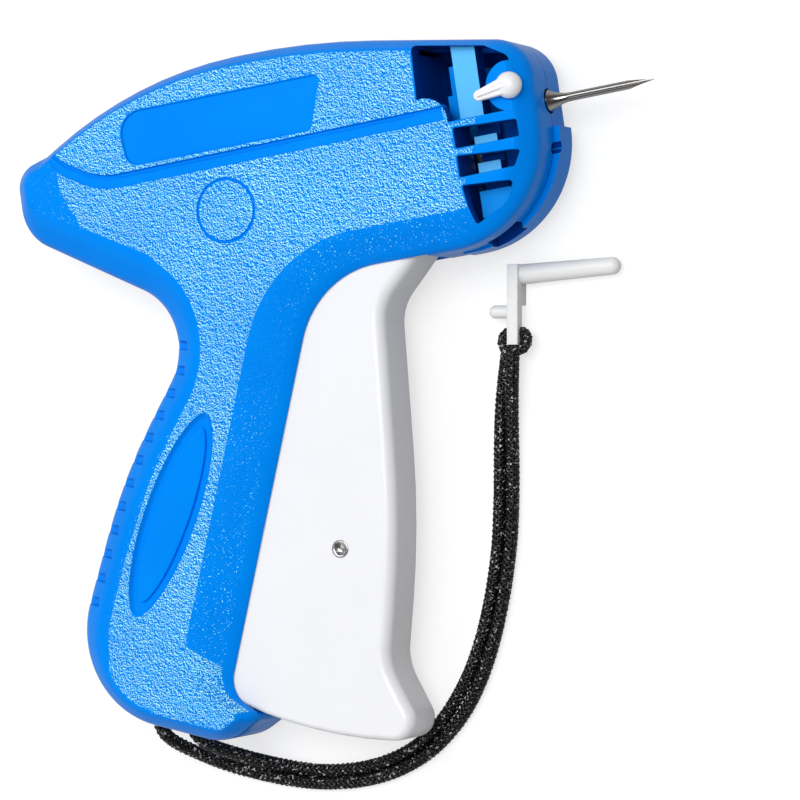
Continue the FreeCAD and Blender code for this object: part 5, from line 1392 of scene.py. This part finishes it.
def spring_tree():
    """Tree that turns a coil of wire along X from its host's one vertex."""
    tree, given = new_tree("coil", (("Length", "Float"), ("Radius", "Float"), ("Wire", "Float"),
                                    ("Turns", "Float")))
    spiral = node(tree, "GeometryNodeCurveSpiral", {
        "Resolution": 28, "Rotations": given["Turns"], "Start Radius": given["Radius"],
        "End Radius": given["Radius"], "Height": given["Length"]}).outputs[0]
    wire = swept(tree, spiral, 10, given["Wire"])
    laid = node(tree, "GeometryNodeTransform",
                {0: wire, "Rotation": (0.0, math.pi / 2, 0.0)}).outputs[0]
    places = node(tree, "GeometryNodeMeshToPoints", {0: given["Geometry"]}).outputs[0]
    copies = node(tree, "GeometryNodeInstanceOnPoints", {0: places, "Instance": laid}).outputs[0]
    real = node(tree, "GeometryNodeRealizeInstances", {0: copies}).outputs[0]
    smooth = node(tree, "GeometryNodeSetShadeSmooth", {0: real}).outputs[0]
    close_tree(tree, smooth, spring_steel)
    return tree


def make_spring():
    start = at(SPRING_X[0], 0.0, PARTING)
    coil = grow("ejector_return_coil", polyline("seed", [start]), spring_tree(),
                {"Length": (SPRING_X[1] - SPRING_X[0]) * MM, "Radius": SPRING_R * MM,
                 "Wire": SPRING_WIRE_R * MM, "Turns": SPRING_TURNS})
    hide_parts("return_spring")
    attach(coil, "housing")
    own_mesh(coil)


make_spring()

# ============================== floor and light ===================================

FLOOR_HALF = 3.0
FLOOR_GREY = 0.36
FLOOR_GLOW, FLOOR_GLOW_LESS = 0.68, 0.42     # what the eye sees, and how much less a reflection sees
WORLD_LIGHT = 0.42
WORLD_WALLS = ((0.15, (0.62, 0.62, 0.62)), (0.55, (0.1, 0.1, 0.1)))


def seen_rays(tree, ray):
    """1 for what the camera sees, straight or through a reflection or glass."""
    straight = maths(tree, "MAXIMUM", ray.outputs["Is Camera Ray"], ray.outputs["Is Glossy Ray"])
    return maths(tree, "MAXIMUM", straight, ray.outputs["Is Transmission Ray"])


def make_floor():
    """Floor that looks white, and that keeps the gun's shadow."""
    material, tree, shader = new_material("pale_floor")
    shader.inputs["Base Color"].default_value = (*grey(FLOOR_GREY), 1.0)
    shader.inputs["Roughness"].default_value = 0.9
    shader.inputs["Specular IOR Level"].default_value = 0.0
    shader.inputs["Emission Color"].default_value = (*grey(1.0), 1.0)
    ray = node(tree, "ShaderNodeLightPath")
    bounced = maths(tree, "MULTIPLY", ray.outputs["Is Glossy Ray"], -FLOOR_GLOW_LESS)
    glow = maths(tree, "ADD", maths(tree, "MULTIPLY", seen_rays(tree, ray), FLOOR_GLOW), bounced)
    tree.links.new(glow, shader.inputs["Emission Strength"])
    mesh = bpy.data.meshes.new("floor")
    corners = [(x * FLOOR_HALF, y * FLOOR_HALF, 0) for x, y in ((-1, -1), (1, -1), (1, 1), (-1, 1))]
    mesh.from_pydata(corners, [], [(0, 1, 2, 3)])
    mesh.materials.append(material)
    floor = bpy.data.objects.new("floor", mesh)
    bpy.context.collection.objects.link(floor)


def make_world():
    """Studio whose walls are white at eye level and dark overhead; it lights the gun softly."""
    world = bpy.data.worlds.new("studio")
    world.use_nodes = True
    tree = world.node_tree
    background = tree.nodes["Background"]
    ray = node(tree, "ShaderNodeLightPath")
    place = node(tree, "ShaderNodeTexCoord").outputs["Generated"]
    height = node(tree, "ShaderNodeSeparateXYZ", {0: place}).outputs["Z"]
    tint = mixed(tree, seen_rays(tree, ray), (*grey(WORLD_LIGHT), 1.0), ramp(tree, height, WORLD_WALLS))
    tree.links.new(tint, background.inputs["Color"])
    bpy.context.scene.world = world


make_floor()
make_world()
for lamp in LAMPS:
    make_lamp(*lamp)

bpy.context.scene.view_settings.view_transform = "Standard"
